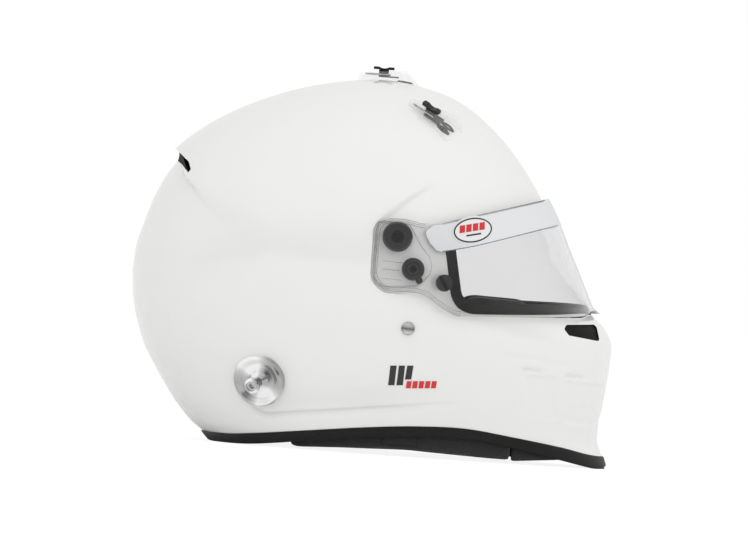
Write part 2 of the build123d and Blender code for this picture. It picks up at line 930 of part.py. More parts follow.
# Head restraint anchors: a turned dish on the shell, a post in it, and the screw through both
with BuildPart() as anchor_dish:
    with BuildSketch(Plane.XZ):
        with BuildLine():
            Polyline(
                (post_root_radius, -dish_skirt),
                (dish_radius, -dish_skirt),
                (dish_radius, dish_height - dish_edge),
                (dish_radius - dish_edge, dish_height),
                (dish_radius - 2 * dish_edge, dish_height),
                (dish_floor_radius, dish_floor_height),
                (post_root_radius, dish_floor_height),
                close=True,
            )
        make_face()
    revolve(axis=Axis.Z)
with BuildPart() as anchor_post:
    with BuildSketch(Plane.XZ):
        with BuildLine():
            Polyline(
                (anchor_screw_radius, -dish_skirt),
                (post_root_radius, -dish_skirt),
                (post_root_radius, dish_floor_height),
                (post_neck_radius + post_chamfer, post_root_height),
                (post_neck_radius + post_chamfer, post_neck_height),
                (post_head_radius, post_neck_height + post_chamfer),
                (post_head_radius, post_head_height - post_chamfer),
                (post_head_radius - post_chamfer, post_head_height),
                (anchor_screw_radius, post_head_height),
                close=True,
            )
        make_face()
    revolve(axis=Axis.Z)
with BuildPart() as anchor_screw:
    with BuildSketch(Plane.XY.offset(-dish_skirt)):
        Circle(anchor_screw_radius)
    extrude(amount=dish_skirt + post_head_height - anchor_screw_sink)
    with BuildSketch(Plane.XY.offset(post_head_height - anchor_screw_sink - anchor_socket_depth)):
        RegularPolygon(anchor_socket_width / 2, 6, major_radius=False)
    extrude(amount=anchor_socket_depth, mode=Mode.SUBTRACT)
keep_pair(anchor_plane.location * anchor_dish.part - bare_form, "anchor_dish")
keep_pair(anchor_plane.location * anchor_post.part - bare_form, "anchor_post")
keep_pair(anchor_plane.location * anchor_screw.part - under_shell, "anchor_screw")


def vent_outline(inset=0):
    """A top vent's outline in its own frame: a long triangle with its point to the rear."""
    with BuildSketch() as outline:
        with BuildLine():
            Polyline(
                (-vent_length / 2, 0),
                (vent_length / 2, -vent_half_width),
                (vent_length / 2, vent_half_width),
                close=True,
            )
        make_face()
        front = outline.vertices().group_by(Axis.X)[-1]
        fillet(front, vent_corner_radius)
        fillet(outline.vertices().sort_by(Axis.X)[0], vent_tip_radius)
        if inset:
            offset(amount=-inset)
    return outline.sketch


def vent_side(drop=0, reach=0):
    """A top vent's side view in its own frame, lowered for the hollow and run out through its open front."""
    roof = [(vent_length * along, vent_height * up - drop) for along, up in vent_roof_shares]
    if reach:
        roof[-1] = (roof[-1][0], roof[-2][1])
        roof.append((roof[-1][0] + reach, roof[-1][1]))
    with BuildPart() as wedge:
        with BuildSketch(Plane.XZ):
            with BuildLine():
                Polyline(*roof, (roof[-1][0], -vent_skirt), (roof[0][0], -vent_skirt), close=True)
            make_face()
        extrude(amount=2 * vent_half_width, both=True)
    return wedge.part


toggle_x = vent_length * toggle_place_share
shutter_x = vent_length * shutter_rear_share
toggle_z = vent_height + toggle_foot

# Guide pins, in the same frame, each with its rear end in the cover's wall
with BuildPart() as guide_pin:
    with Locations((vent_length * guide_pin_rear_share, -guide_pin_side, guide_pin_height)):
        Cylinder(
            guide_pin_radius,
            guide_pin_length,
            rotation=(0, 90, 0),
            align=(Align.CENTER, Align.CENTER, Align.MIN),
        )

# Top vent covers, in their own frame: a hollow clear wedge with an open front and a slot for the slider
vent_face = vent_outline()
vent_inside_face = vent_outline(inset=vent_wall)
vent_wedge = vent_side()
vent_inside_wedge = vent_side(drop=vent_wall, reach=vent_corner_radius)
with BuildPart() as vent_hollow:
    with BuildSketch(Plane.XY.offset(-vent_skirt)):
        add(vent_inside_face)
        with Locations((vent_length / 2, 0)):
            Rectangle(2 * vent_corner_radius, 2 * (vent_half_width - vent_wall - vent_corner_radius))
    extrude(amount=vent_skirt + vent_height)
    add(vent_inside_wedge, mode=Mode.INTERSECT)
with BuildPart() as vent_cover:
    with BuildSketch(Plane.XY.offset(-vent_skirt)):
        add(vent_face)
    extrude(amount=vent_skirt + vent_height)
    add(vent_wedge, mode=Mode.INTERSECT)
    add(vent_hollow.part, mode=Mode.SUBTRACT)
    with BuildSketch():
        with Locations((toggle_x + slider_travel / 2, 0)):
            Rectangle(stem_length + slider_travel + 2 * slider_clearance, stem_width + 2 * slider_clearance)
    extrude(amount=2 * vent_height, mode=Mode.SUBTRACT)
    add(guide_pin.part, mode=Mode.SUBTRACT)

# Top vent sliders, in the same frame: a saddled toggle, its stem, and the shutter that closes the ports
with BuildPart() as vent_slider:
    with Locations((toggle_x, 0, toggle_z)):
        Box(toggle_length, toggle_width, toggle_rise, align=(Align.CENTER, Align.CENTER, Align.MIN))
    fillet(vent_slider.edges().filter_by(Axis.Z), toggle_width * toggle_round_share)
    saddle_radius = (toggle_length / 4) ** 2 / (2 * toggle_saddle) + toggle_saddle / 2
    with Locations((toggle_x, 0, toggle_z + toggle_rise - toggle_saddle + saddle_radius)):
        Cylinder(saddle_radius, 2 * toggle_width, rotation=(90, 0, 0), mode=Mode.SUBTRACT)
    with Locations((toggle_x, 0, shutter_bottom)):
        Box(stem_length, stem_width, toggle_z - shutter_bottom, align=(Align.CENTER, Align.CENTER, Align.MIN))
    with Locations((shutter_x, 0, shutter_bottom)):
        Box(
            shutter_length,
            2 * shutter_half_width,
            shutter_height,
            align=(Align.MIN, Align.CENTER, Align.MIN),
        )

seat_form = helmet_form(vent_seat)
for side, plane in vent_planes.items():
    keep(plane.location * vent_cover.part - seat_form, f"top_vent_cover_{side}")
    keep(plane.location * vent_slider.part, f"top_vent_slider_{side}")
guide_pins = Compound(children=[plane.location * guide_pin.part for plane in vent_planes.values()])
keep(guide_pins, "top_vent_pins")

# Meshes in the chin inlets and under the spoiler lip
chin_vent_mesh = layer(through(chin_vent_face), -mesh_sink, -mesh_sink - mesh_wall)
keep_pair(chin_vent_mesh, "chin_vent_mesh")
rear_vent_mesh = layer(rear_slot.part, -mesh_sink, -mesh_sink - mesh_wall)
keep(rear_vent_mesh, "rear_vent_mesh")


def head_form(grow=0):
    """The room for the head: an upright oval that closes over the crown, grown outward."""
    x, z = spot(head_centre_share)
    with BuildPart() as form:
        with BuildSketch(Plane.XY.offset(-overrun)):
            with Locations((x, 0)):
                Ellipse(head_half_length + grow, head_half_width + grow)
        extrude(amount=z + overrun)
        for k in range(head_sections):
            turn = pi / 2 * k / head_sections
            with BuildSketch(Plane.XY.offset(z + (head_rise + grow) * sin(turn))):
                with Locations((x, 0)):
                    Ellipse((head_half_length + grow) * cos(turn), (head_half_width + grow) * cos(turn))
        loft()
    return form.part


# Impact liner: foam between shell and head, open at the face and the neck
liner_side = both(through(side_face(liner_shares)))
eyeport_clear = both(through(eyeport_face(gasket_cover + layer_gap)))
with BuildPart() as liner_region:
    add(liner_side)
    add(eyeport_clear, mode=Mode.SUBTRACT)
pod_clear = both(through(pod_clear_face, near=pod_inside - layer_gap))
comfort_outer = head_form(comfort_wall)
comfort_room = head_form(comfort_wall + layer_gap)
with BuildPart() as impact_liner:
    add(under_shell)
    add(liner_region.part, mode=Mode.INTERSECT)
    add(comfort_room, mode=Mode.SUBTRACT)
    add(pod_clear, mode=Mode.SUBTRACT)
    for port in ports:
        add(port, mode=Mode.SUBTRACT)
keep(impact_liner.part, "impact_liner")

# Comfort liner: soft lining inside the foam
head_room = head_form()
with BuildPart() as comfort_liner:
    add(comfort_outer)
    add(head_room, mode=Mode.SUBTRACT)
    add(liner_region.part, mode=Mode.INTERSECT)
    add(under_shell, mode=Mode.INTERSECT)
keep(comfort_liner.part, "comfort_liner")

# Cheek pads: thick soft pads from the shell to the cheeks, with a channel for the strap
rivet_x = spot(rivet_spot_share)[0]
strap_low_x = rivet_x - strap_width / 2
strap_high_x = rivet_x + strap_width / 2
cheek_x, cheek_z = spot(cheek_middle_share)
cheek_back = -cheek_inner - cheek_crown_depth
with BuildPart() as cheek_crown:
    with BuildSketch(Plane.XY.offset(-overrun)):
        with Locations((cheek_x, cheek_back)):
            Ellipse(cheek_crown_length, cheek_crown_depth)
    extrude(amount=crown_height + overrun)
    with BuildSketch(Plane.YZ.offset(-overall_length)):
        with Locations((cheek_back, cheek_z)):
            Ellipse(cheek_crown_depth, cheek_crown_height)
    extrude(amount=2 * overall_length, mode=Mode.INTERSECT)
cheek_block = through(side_face(cheek_shares, corner=cheek_corner), near=cheek_inner)
cheek_form = helmet_form(-cheek_outer_gap)
strap_channel = block_between(
    (strap_low_x - strap_channel_clearance, -half_width, strap_low - strap_channel_clearance),
    (strap_high_x + strap_channel_clearance, 0, strap_low + strap_wall + strap_channel_clearance),
)
with BuildPart() as cheek_pad:
    add(cheek_block)
    add(cheek_crown.part, mode=Mode.INTERSECT)
    add(cheek_form, mode=Mode.INTERSECT)
    add(strap_channel, mode=Mode.SUBTRACT)
keep_pair(cheek_pad.part, "cheek_pad")

# Neck roll: a soft roll inside the rear lower edge
neck_x = overall_length * neck_centre_share
roll_top = crown_height * neck_roll_top_share
roll_front = overall_length * neck_roll_front_share
roll_form = helmet_form(-trim_inside)
with BuildPart() as neck_roll:
    with BuildSketch(Plane.XY.offset(neck_roll_bottom)):
        with Locations((roll_front, 0)):
            Rectangle(overall_length, overall_width, align=(Align.MAX, Align.CENTER))
        with Locations((neck_x, 0)):
            Ellipse(neck_half_length, neck_half_width, mode=Mode.SUBTRACT)
    extrude(amount=roll_top - neck_roll_bottom)
    add(roll_form, mode=Mode.INTERSECT)
keep(neck_roll.part, "neck_roll")

# Chin foam: a foam block in the chin bar
chin_block = block_between(
    (overall_length * chin_foam_rear_share, -half_width, crown_height * chin_foam_bottom_share),
    (overall_length, half_width, crown_height * chin_foam_top_share),
)
with BuildPart() as chin_foam:
    add(chin_block)
    add(under_shell, mode=Mode.INTERSECT)
    with BuildSketch(Plane.XY):
        Ellipse(chin_hollow_length, chin_hollow_width)
    extrude(amount=crown_height, mode=Mode.SUBTRACT)
keep(chin_foam.part, "chin_foam")

# Chin curtain: a soft strip inside the chin's lower edge
curtain_region = block_between(
    (overall_length * curtain_rear_share, -half_width, curtain_bottom),
    (overall_length, half_width, crown_height * curtain_top_share),
)
chin_curtain = layer(curtain_region, -trim_inside, -trim_inside - curtain_wall)
keep(chin_curtain, "chin_curtain")


strap_region = block_between(
    (strap_low_x, -half_width, strap_low),
    (strap_high_x, 0, crown_height * strap_top_share),
)
strap_run = layer(strap_region, -strap_outer, -strap_outer - strap_wall)
strap_low_y = -side_reach(rivet_x, strap_low, -strap_outer - strap_wall / 2)
strap_face_y = layer_gap - cheek_inner


def strap(top):
    """A right-hand strap: down inside the shell from its rivet, under the pad and up its inner face."""
    under_pad = block_between(
        (strap_low_x, strap_low_y, strap_low),
        (strap_high_x, strap_face_y, strap_low + strap_wall),
    )
    up_pad = block_between(
        (strap_low_x, strap_face_y, strap_low),
        (strap_high_x, strap_face_y + strap_wall, top),
    )
    with BuildPart() as webbing:
        add(strap_run)
        add(under_pad)
        add(up_pad)
        with Locations(rivet_plane):
            Cylinder(rivet_shank_radius, overrun, mode=Mode.SUBTRACT)
    return webbing.part


loop_radius = strap_loop_radius + strap_wall
loop_y = loop_radius - cheek_inner + layer_gap
loop_plane = Plane(origin=(rivet_x, loop_y, short_strap_top), x_dir=(0, 1, 0), z_dir=(1, 0, 0))
short_strap = strap(short_strap_top)
with BuildPart() as chin_strap_right:
    add(short_strap)
    with BuildSketch(loop_plane):
        Circle(loop_radius)
    extrude(amount=strap_width / 2, both=True)
    with BuildSketch(loop_plane):
        Circle(strap_loop_radius)
    extrude(amount=strap_width, both=True, mode=Mode.SUBTRACT)
keep(chin_strap_right.part, "chin_strap_right")
keep(mirror(strap(long_strap_top), about=Plane.XZ), "chin_strap_left")


def d_ring(aside):
    """A bent wire ring off the loop's middle: a straight bar in the loop and a bow that hangs down."""
    plane = Plane(origin=(rivet_x, loop_y + aside, short_strap_top), x_dir=(1, 0, 0), z_dir=(0, -1, 0))
    half = ring_inner_half_width + ring_bar_radius
    corner = 2 * ring_bar_radius
    with BuildLine(plane) as bow:
        FilletPolyline(
            (half, 0),
            (half, -ring_drop),
            (-half, -ring_drop),
            (-half, 0),
            radius=(corner, ring_round, ring_round, corner),
            close=True,
        )
    with BuildPart() as ring:
        with BuildSketch(Plane(origin=bow.wires()[0] @ 0, z_dir=bow.wires()[0] % 0)):
            Circle(ring_bar_radius)
        sweep(path=bow.wires()[0])
    return ring.part


keep(d_ring(ring_spacing / 2), "d_ring_inner")
keep(d_ring(-ring_spacing / 2), "d_ring_outer")
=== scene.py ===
"""Visual model of a full-face auto racing helmet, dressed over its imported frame."""

import logging
from dataclasses import dataclass, field
from enum import Enum
from math import cos, pi, radians, sin, sqrt, tan
from typing import Callable, Optional, Sequence

import bmesh
import bpy
import numpy as np
from mathutils import Matrix, Vector


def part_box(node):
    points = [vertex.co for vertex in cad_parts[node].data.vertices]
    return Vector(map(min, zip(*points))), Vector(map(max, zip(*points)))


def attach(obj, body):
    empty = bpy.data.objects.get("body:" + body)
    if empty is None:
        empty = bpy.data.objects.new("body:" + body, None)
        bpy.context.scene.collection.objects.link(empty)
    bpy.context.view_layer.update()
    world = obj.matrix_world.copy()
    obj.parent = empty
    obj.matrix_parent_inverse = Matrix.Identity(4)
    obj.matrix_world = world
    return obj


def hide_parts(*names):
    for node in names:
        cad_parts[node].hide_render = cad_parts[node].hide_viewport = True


LOG = logging.getLogger("helmet")
MM = 0.001

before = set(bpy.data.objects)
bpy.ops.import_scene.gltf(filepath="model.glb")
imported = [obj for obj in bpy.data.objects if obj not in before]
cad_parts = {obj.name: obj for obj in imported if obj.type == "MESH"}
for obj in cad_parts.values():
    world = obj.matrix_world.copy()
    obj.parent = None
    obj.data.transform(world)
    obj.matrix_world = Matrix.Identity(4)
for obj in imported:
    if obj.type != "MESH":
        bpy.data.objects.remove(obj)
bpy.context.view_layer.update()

Point = tuple[float, float]
Triple = tuple[float, float, float]
Colour = tuple[float, float, float, float]
Values = np.ndarray
Shares = Sequence[Sequence[float]]
Piece = bpy.types.Object
Material = bpy.types.Material


# Numbers on tables and outlines


def hermite(places: Values, values: Values, at: Values) -> Values:
    """Read a column along smooth curves through its rows.

    Args:
        places: Where the rows stand, rising.
        values: What each row holds.
        at: The places to read.

    Returns:
        The value at each place.
    """
    places, values = np.asarray(places, float), np.asarray(values, float)
    last = len(places) - 1
    k = np.clip(np.searchsorted(places, at, side="right") - 1, 0, last - 1)
    before, after = np.maximum(np.arange(last + 1) - 1, 0), np.minimum(np.arange(last + 1) + 1, last)
    slopes = (values[after] - values[before]) / (places[after] - places[before])
    step = places[k + 1] - places[k]
    part = (at - places[k]) / step
    bend = part * part * (3 - 2 * part)
    lean_in = part * (1 - part) ** 2 * slopes[k] * step
    lean_out = part * part * (part - 1) * slopes[k + 1] * step
    return values[k] + bend * (values[k + 1] - values[k]) + lean_in + lean_out


def ramp(value: Values, low: float, high: float) -> Values:
    """A smooth step from 0 at low to 1 at high.

    Args:
        value: What is compared.
        low: Where the step starts.
        high: Where it ends.

    Returns:
        The height of the step at each value.
    """
    part = np.clip((value - low) / (high - low), 0, 1)
    return part * part * (3 - 2 * part)


def rounded(points: Sequence[Point], radii: float | Sequence[float], steps: int = 6) -> list[Point]:
    """Round the corners of a closed outline.

    Args:
        points: The outline's corners in order.
        radii: One radius for all corners, or one for each.
        steps: How many points each rounded corner gets, less one.

    Returns:
        The rounded outline.
    """
    count = len(points)
    sizes = [radii] * count if isinstance(radii, (int, float)) else list(radii)
    line: list[Point] = []
    for k, corner in enumerate(points):
        here = Vector(corner)
        back, ahead = Vector(points[k - 1]) - here, Vector(points[(k + 1) % count]) - here
        half = back.angle(ahead) / 2
        reach = min(sizes[k] / max(tan(half), 1e-6), 0.49 * back.length, 0.49 * ahead.length)
        if sizes[k] <= 0 or reach < 1e-6:
            line.append(tuple(here))
            continue
        start, end = here + back.normalized() * reach, here + ahead.normalized() * reach
        for step in range(steps + 1):
            part = step / steps
            point = start * (1 - part) ** 2 + here * 2 * part * (1 - part) + end * part**2
            line.append(tuple(point))
    return line


def outline_distance(x: Values, z: Values, outline: Sequence[Point]) -> Values:
    """Signed distance from a closed outline in the side view, less than 0 inside it.

    Args:
        x: Places along the helmet.
        z: Their heights.
        outline: The outline's points.

    Returns:
        The distances.
    """
    corners = np.asarray(outline, float)
    inside = np.zeros(np.shape(x), bool)
    nearest = np.full(np.shape(x), np.inf)
    for start, end in zip(corners, np.roll(corners, -1, axis=0)):
        edge = end - start
        part = np.clip(((x - start[0]) * edge[0] + (z - start[1]) * edge[1]) / (edge @ edge), 0, 1)
        gap = np.hypot(x - start[0] - part * edge[0], z - start[1] - part * edge[1])
        nearest = np.minimum(nearest, gap)
        crosses = (start[1] > z) != (end[1] > z)
        rise = edge[1] if abs(edge[1]) > 1e-12 else 1e-12
        inside ^= crosses & (x < edge[0] * (z - start[1]) / rise + start[0])
    return np.where(inside, -nearest, nearest)


def line_distance(x: Values, z: Values, line: Sequence[Point]) -> tuple[Values, Values]:
    """Distance from an open line in the side view, and how far along it the nearest point is.

    Args:
        x: Places along the helmet.
        z: Their heights.
        line: The line's points.

    Returns:
        Distances, more than 0 to the line's left, and shares of its length.
    """
    corners = np.asarray(line, float)
    runs = np.hypot(*np.diff(corners, axis=0).T)
    total = runs.sum()
    nearest, along = np.full(np.shape(x), np.inf), np.zeros(np.shape(x))
    passed = 0.0
    for start, end, run in zip(corners, corners[1:], runs):
        edge = end - start
        part = np.clip(((x - start[0]) * edge[0] + (z - start[1]) * edge[1]) / (edge @ edge), 0, 1)
        aside_x, aside_z = x - start[0] - part * edge[0], z - start[1] - part * edge[1]
        gap = np.hypot(aside_x, aside_z)
        side = np.where(edge[0] * aside_z - edge[1] * aside_x >= 0, 1.0, -1.0)
        closer = gap < np.abs(nearest)
        nearest = np.where(closer, gap * side, nearest)
        along = np.where(closer, (passed + part * run) / total, along)
        passed += run
    return nearest, along


def around(count: int) -> Values:
    """Even angles all the way round, in radians."""
    return np.linspace(0, 2 * pi, count, endpoint=False)


def headings(line: Values) -> Values:
    """Unit directions along a closed line at its points."""
    ahead = np.roll(line, -1, axis=0) - np.roll(line, 1, axis=0)
    return ahead / np.maximum(np.linalg.norm(ahead, axis=1, keepdims=True), 1e-9)


def spread(spots: Values, count: int) -> Values:
    """Evenly spaced points on a closed line.

    Args:
        spots: The line's points.
        count: How many points to give.

    Returns:
        The even points.
    """
    ring = np.concatenate([spots, spots[:1]])
    run = np.concatenate([[0], np.cumsum(np.linalg.norm(np.diff(ring, axis=0), axis=1))])
    places = np.linspace(0, run[-1], count, endpoint=False)
    return np.stack([np.interp(places, run, ring[:, k]) for k in range(3)], axis=-1)


def leaned(origin: Point, tilt: float, along: float, up: float) -> Point:
    """A place of the side view, from its place in a frame that is turned about its origin.

    Args:
        origin: Where the frame starts.
        tilt: How far it is turned, in degrees.
        along: The place along the frame.
        up: The place up the frame.

    Returns:
        The place.
    """
    lean = radians(tilt)
    return origin[0] + along * cos(lean) - up * sin(lean), origin[1] + along * sin(lean) + up * cos(lean)


def on_circle(centre: Point, radius: float, angle: float) -> Point:
    """A place of the side view on a circle, at an angle in degrees."""
    return leaned(centre, angle, radius, 0.0)


# The helmet's body


@dataclass(frozen=True)
class BodyForm:
    """The smooth body of the helmet in millimetres, from its half profiles."""

    length: float = 345.3
    width: float = 245.0
    height: float = 263.8
    fullness: float = 2.15
    widest_share: float = -0.058
    crown_share: float = -0.017
    shoulder_share: float = 0.713
    spoiler_foot: float = 0.400
    profile: Shares = (
        (-0.057, -0.284, 0.500, 0.400),
        (0.000, -0.317, 0.497, 0.409),
        (0.025, -0.334, 0.495, 0.412),
        (0.045, -0.355, 0.486, 0.415),
        (0.068, -0.373, 0.479, 0.419),
        (0.106, -0.398, 0.478, 0.427),
        (0.171, -0.432, 0.484, 0.444),
        (0.246, -0.466, 0.490, 0.464),
        (0.326, -0.488, 0.493, 0.481),
        (0.349, -0.492, 0.488, 0.485),
        (0.379, -0.496, 0.473, 0.490),
        (0.406, -0.498, 0.451, 0.493),
        (0.421, -0.499, 0.438, 0.495),
        (0.447, -0.500, 0.428, 0.497),
        (0.512, -0.496, 0.404, 0.500),
        (0.576, -0.483, 0.380, 0.498),
        (0.644, -0.466, 0.356, 0.487),
        (0.713, -0.440, 0.326, 0.465),
        (0.781, -0.400, 0.291, 0.428),
        (0.842, -0.343, 0.253, 0.380),
        (0.895, -0.282, 0.211, 0.321),
        (0.936, -0.220, 0.170, 0.257),
        (0.969, -0.153, 0.120, 0.184),
        (0.987, -0.096, 0.070, 0.117),
        (0.997, -0.052, 0.031, 0.065),
        (1.000, -0.017, -0.017, 0.000),
    )
    spoiler_rise: Shares = (
        (0.400, 0.0220),
        (0.713, 0.0220),
        (0.842, 0.0290),
        (0.936, 0.0180),
        (0.987, 0.0060),
        (0.997, 0.0000),
        (1.000, -0.0020),
    )

    def half_profile(self, column: int, outward: int, grow: float, spoiler: bool) -> tuple[Values, Values]:
        """One half profile, grown along its normals.

        Args:
            column: The table's column: 1 rear, 2 front, 3 side.
            outward: Which way the column's reach grows.
            grow: Millimetres to grow.
            spoiler: Whether the rear is the spoiler's fuller one.

        Returns:
            Places below the crown, as less than 0 square roots, and reaches.
        """
        table = np.array(self.profile)
        size = self.width if column == 3 else self.length
        heights, reaches = self.height * table[:, 0], size * table[:, column]
        if spoiler and column == 1:
            rise = np.array(self.spoiler_rise)
            fuller = table[:, 0] >= self.spoiler_foot
            extra = self.length * hermite(rise[:, 0], rise[:, 1], table[:, 0])
            reaches = np.where(fuller, reaches - extra, reaches)
        last = len(table) - 1
        rows = np.arange(last)
        up = heights[rows + 1] - heights[np.maximum(rows - 1, 0)]
        out = outward * (reaches[rows + 1] - reaches[np.maximum(rows - 1, 0)])
        run = np.hypot(up, out)
        grown_heights = np.append(heights[:-1] - grow * out / run, heights[-1] + grow)
        grown_reaches = np.append(reaches[:-1] + outward * grow * up / run, reaches[-1])
        return -np.sqrt(np.maximum(grown_heights[-1] - grown_heights, 0)), grown_reaches

    def section(self, z: Values, grow: float = 0, spoiler: bool = False) -> tuple[Values, ...]:
        """The body's section at each height.

        Args:
            z: Heights in millimetres.
            grow: Millimetres to grow the body.
            spoiler: Whether the rear is the spoiler's fuller one.

        Returns:
            Rear end, front end, half width and widest place.
        """
        place = -np.sqrt(np.maximum(self.height + grow - z, 0))
        sides = ((1, -1), (2, 1), (3, 1))
        rear, front, side = (
            hermite(*self.half_profile(column, outward, grow, spoiler), place) for column, outward in sides
        )
        rise = np.clip((z / self.height - self.shoulder_share) / (1 - self.shoulder_share), 0, 1)
        widest = self.length * (self.widest_share + (self.crown_share - self.widest_share) * rise)
        return rear, front, side, widest

    def ring(self, turn: Values, z: Values, grow: float = 0, spoiler: bool = False) -> tuple[Values, Values]:
        """Points round the body.

        Args:
            turn: Angles from the front, towards the wearer's left.
            z: Heights in millimetres.
            grow: Millimetres to grow the body.
            spoiler: Whether the rear is the spoiler's fuller one.

        Returns:
            The points' x and y.
        """
        rear, front, side, widest = self.section(z, grow, spoiler)
        along, across = np.cos(turn), np.sin(turn)
        reach = np.where(along >= 0, front - widest, widest - rear)
        power = 2 / self.fullness
        x = widest + np.sign(along) * np.abs(along) ** power * reach
        return x, np.sign(across) * np.abs(across) ** power * side

    def side(self, x: Values, z: Values, grow: float = 0) -> Values:
        """Distance from the middle plane to the body's side.

        Args:
            x: Places of the side view.
            z: Their heights.
            grow: Millimetres to grow the body.

        Returns:
            The distances, 0 where the body doesn't reach.
        """
        rear, front, side, widest = self.section(z, grow)
        reach = np.where(x >= widest, front - widest, widest - rear)
        inside = np.clip(1 - np.minimum(np.abs(x - widest) / reach, 1) ** self.fullness, 0, 1)
        return side * inside ** (1 / self.fullness)

    def level(self, x: Values, y: Values, z: Values) -> Values:
        """How far outside the body places are, as a level that is 1 on the body.

        Args:
            x: Places along the helmet.
            y: Places across it.
            z: Their heights.

        Returns:
            The levels.
        """
        rear, front, side, widest = self.section(z)
        reach = np.where(x >= widest, front - widest, widest - rear)
        along, aside = np.abs(x - widest) / reach, np.abs(y) / np.maximum(side, 1e-6)
        return along**self.fullness + aside**self.fullness

    def spots(self, shares: Shares) -> list[Point]:
        """A side-view outline in millimetres from its shares of length and height."""
        return [(self.length * share[0], self.height * share[1]) for share in shares]

    def line(self, shares: Shares) -> Callable[[Values], Values]:
        """The height along a side-view line, as a function of the place along the helmet."""
        spots = np.array(self.spots(shares))
        return lambda x: hermite(spots[:, 0], spots[:, 1], np.clip(x, spots[0, 0], spots[-1, 0]))

    def along_line(self, height: Callable[[Values], Values], turn: Values, grow: float = 0) -> Values:
        """Heights at which a side-view line crosses the body at each angle.

        Args:
            height: The line's height at a place.
            turn: Angles from the front.
            grow: Millimetres to grow the body.

        Returns:
            The heights.
        """
        z = height(np.zeros_like(turn))
        for _ in range(24):
            z = (z + height(self.ring(turn, z, grow)[0])) / 2
        return z


BODY = BodyForm()


def inset(line: Sequence[Point], depth: float) -> list[Point]:
    """A closed outline moved inwards.

    Args:
        line: The outline.
        depth: How far.

    Returns:
        The smaller outline.
    """
    spots = np.array(line)
    turn = np.sum(spots[:, 0] * np.roll(spots[:, 1], -1) - spots[:, 1] * np.roll(spots[:, 0], -1))
    moved = spots + headings(spots)[:, ::-1] * ((-1, 1) if turn > 0 else (1, -1)) * depth
    return [tuple(spot) for spot in moved]


SHIELD_OUTLINE = rounded(BODY.spots((
    (-0.0093, 0.600), (-0.0015, 0.621), (0.0200, 0.632), (0.0520, 0.632), (0.0870, 0.623), (0.1270, 0.628),
    (0.1910, 0.654), (0.3450, 0.715), (0.5500, 0.796), (0.5500, 0.415), (0.4420, 0.415), (0.4260, 0.402),
    (0.3560, 0.396), (0.2660, 0.390), (0.1660, 0.383), (0.1350, 0.403), (0.1010, 0.433), (0.0830, 0.437),
    (0.0160, 0.436), (-0.0093, 0.466),
)), [14.0] * 8 + [5.5] * 6 + [14.0] * 6)
PLATE_OUTLINE = rounded(BODY.spots((
    (-0.0060, 0.621), (0.0600, 0.621), (0.0733, 0.597), (0.0869, 0.566), (0.1060, 0.538), (0.1130, 0.512),
    (0.1100, 0.489), (0.0980, 0.468), (0.0810, 0.453), (0.0160, 0.444), (-0.0060, 0.465),
)), 3)


# Meshes


def mesh_object(name: str, points: Values, faces: Sequence[Sequence[int]], smooth: float = 30) -> Piece:
    """Make an object from points in millimetres.

    Args:
        name: The piece's name.
        points: Its points.
        faces: Its faces as point numbers.
        smooth: Edges flatter than this many degrees are shaded smooth.

    Returns:
        The object, linked to the scene.
    """
    mesh = bpy.data.meshes.new(name)
    mesh.from_pydata((np.asarray(points, float) * MM).tolist(), [], [tuple(map(int, face)) for face in faces])
    mesh.update()
    piece = bpy.data.objects.new(name, mesh)
    bpy.context.scene.collection.objects.link(piece)
    shade(piece, smooth)
    return piece


def shade(piece: Piece, degrees: float) -> None:
    """Shade a piece smooth but for edges sharper than an angle.

    Args:
        piece: The piece.
        degrees: The angle.
    """
    mesh = piece.data
    mesh.shade_smooth()
    mesh.set_sharp_from_angle(angle=radians(degrees))


def grid_faces(rows: int, columns: int, first: int = 0, wrap: bool = False,
               flip: bool = False) -> list[tuple]:
    """Faces of a grid of points.

    Args:
        rows: How many rows.
        columns: How many columns.
        first: The number of the first point.
        wrap: Whether the last column joins the first.
        flip: Whether the faces look the other way.

    Returns:
        The faces.
    """
    row, column = np.meshgrid(np.arange(rows - 1), np.arange(columns if wrap else columns - 1), indexing="ij")
    after = (column + 1) % columns
    low, high = row * columns, (row + 1) * columns
    corners = [low + column, low + after, high + after, high + column]
    quads = np.stack(corners, axis=-1).reshape(-1, 4) + first
    return [tuple(quad) for quad in (quads[:, ::-1] if flip else quads)]


def skin_object(name: str, outer: Values, inner: Values, wrap: bool = False, smooth: float = 30,
                capped: bool = False) -> Piece:
    """Make a closed skin between two grids of points.

    Args:
        name: The piece's name.
        outer: Outer points, rows by columns by 3.
        inner: Inner points, the same shape.
        wrap: Whether the last column joins the first.
        smooth: Edges flatter than this many degrees are shaded smooth.
        capped: Whether each grid's last row is closed by a face of its own.

    Returns:
        The piece.
    """
    rows, columns = outer.shape[:2]
    count = rows * columns
    top = count - columns
    faces = grid_faces(rows, columns, wrap=wrap)
    faces += grid_faces(rows, columns, first=count, wrap=wrap, flip=True)
    for k in range(columns if wrap else columns - 1):
        after = (k + 1) % columns
        faces.append((after, k, count + k, count + after))
        if not capped:
            faces.append((top + k, top + after, count + top + after, count + top + k))
    if capped:
        faces += [tuple(range(top, count)), tuple(range(count + top, 2 * count))[::-1]]
    if not wrap:
        for k in range(rows - 1):
            low, high = k * columns, (k + 1) * columns
            faces.append((low, high, count + high, count + low))
            end_low, end_high = low + columns - 1, high + columns - 1
            faces.append((end_high, end_low, count + end_low, count + end_high))
    points = np.concatenate([outer.reshape(-1, 3), inner.reshape(-1, 3)])
    return mesh_object(name, points, faces, smooth)


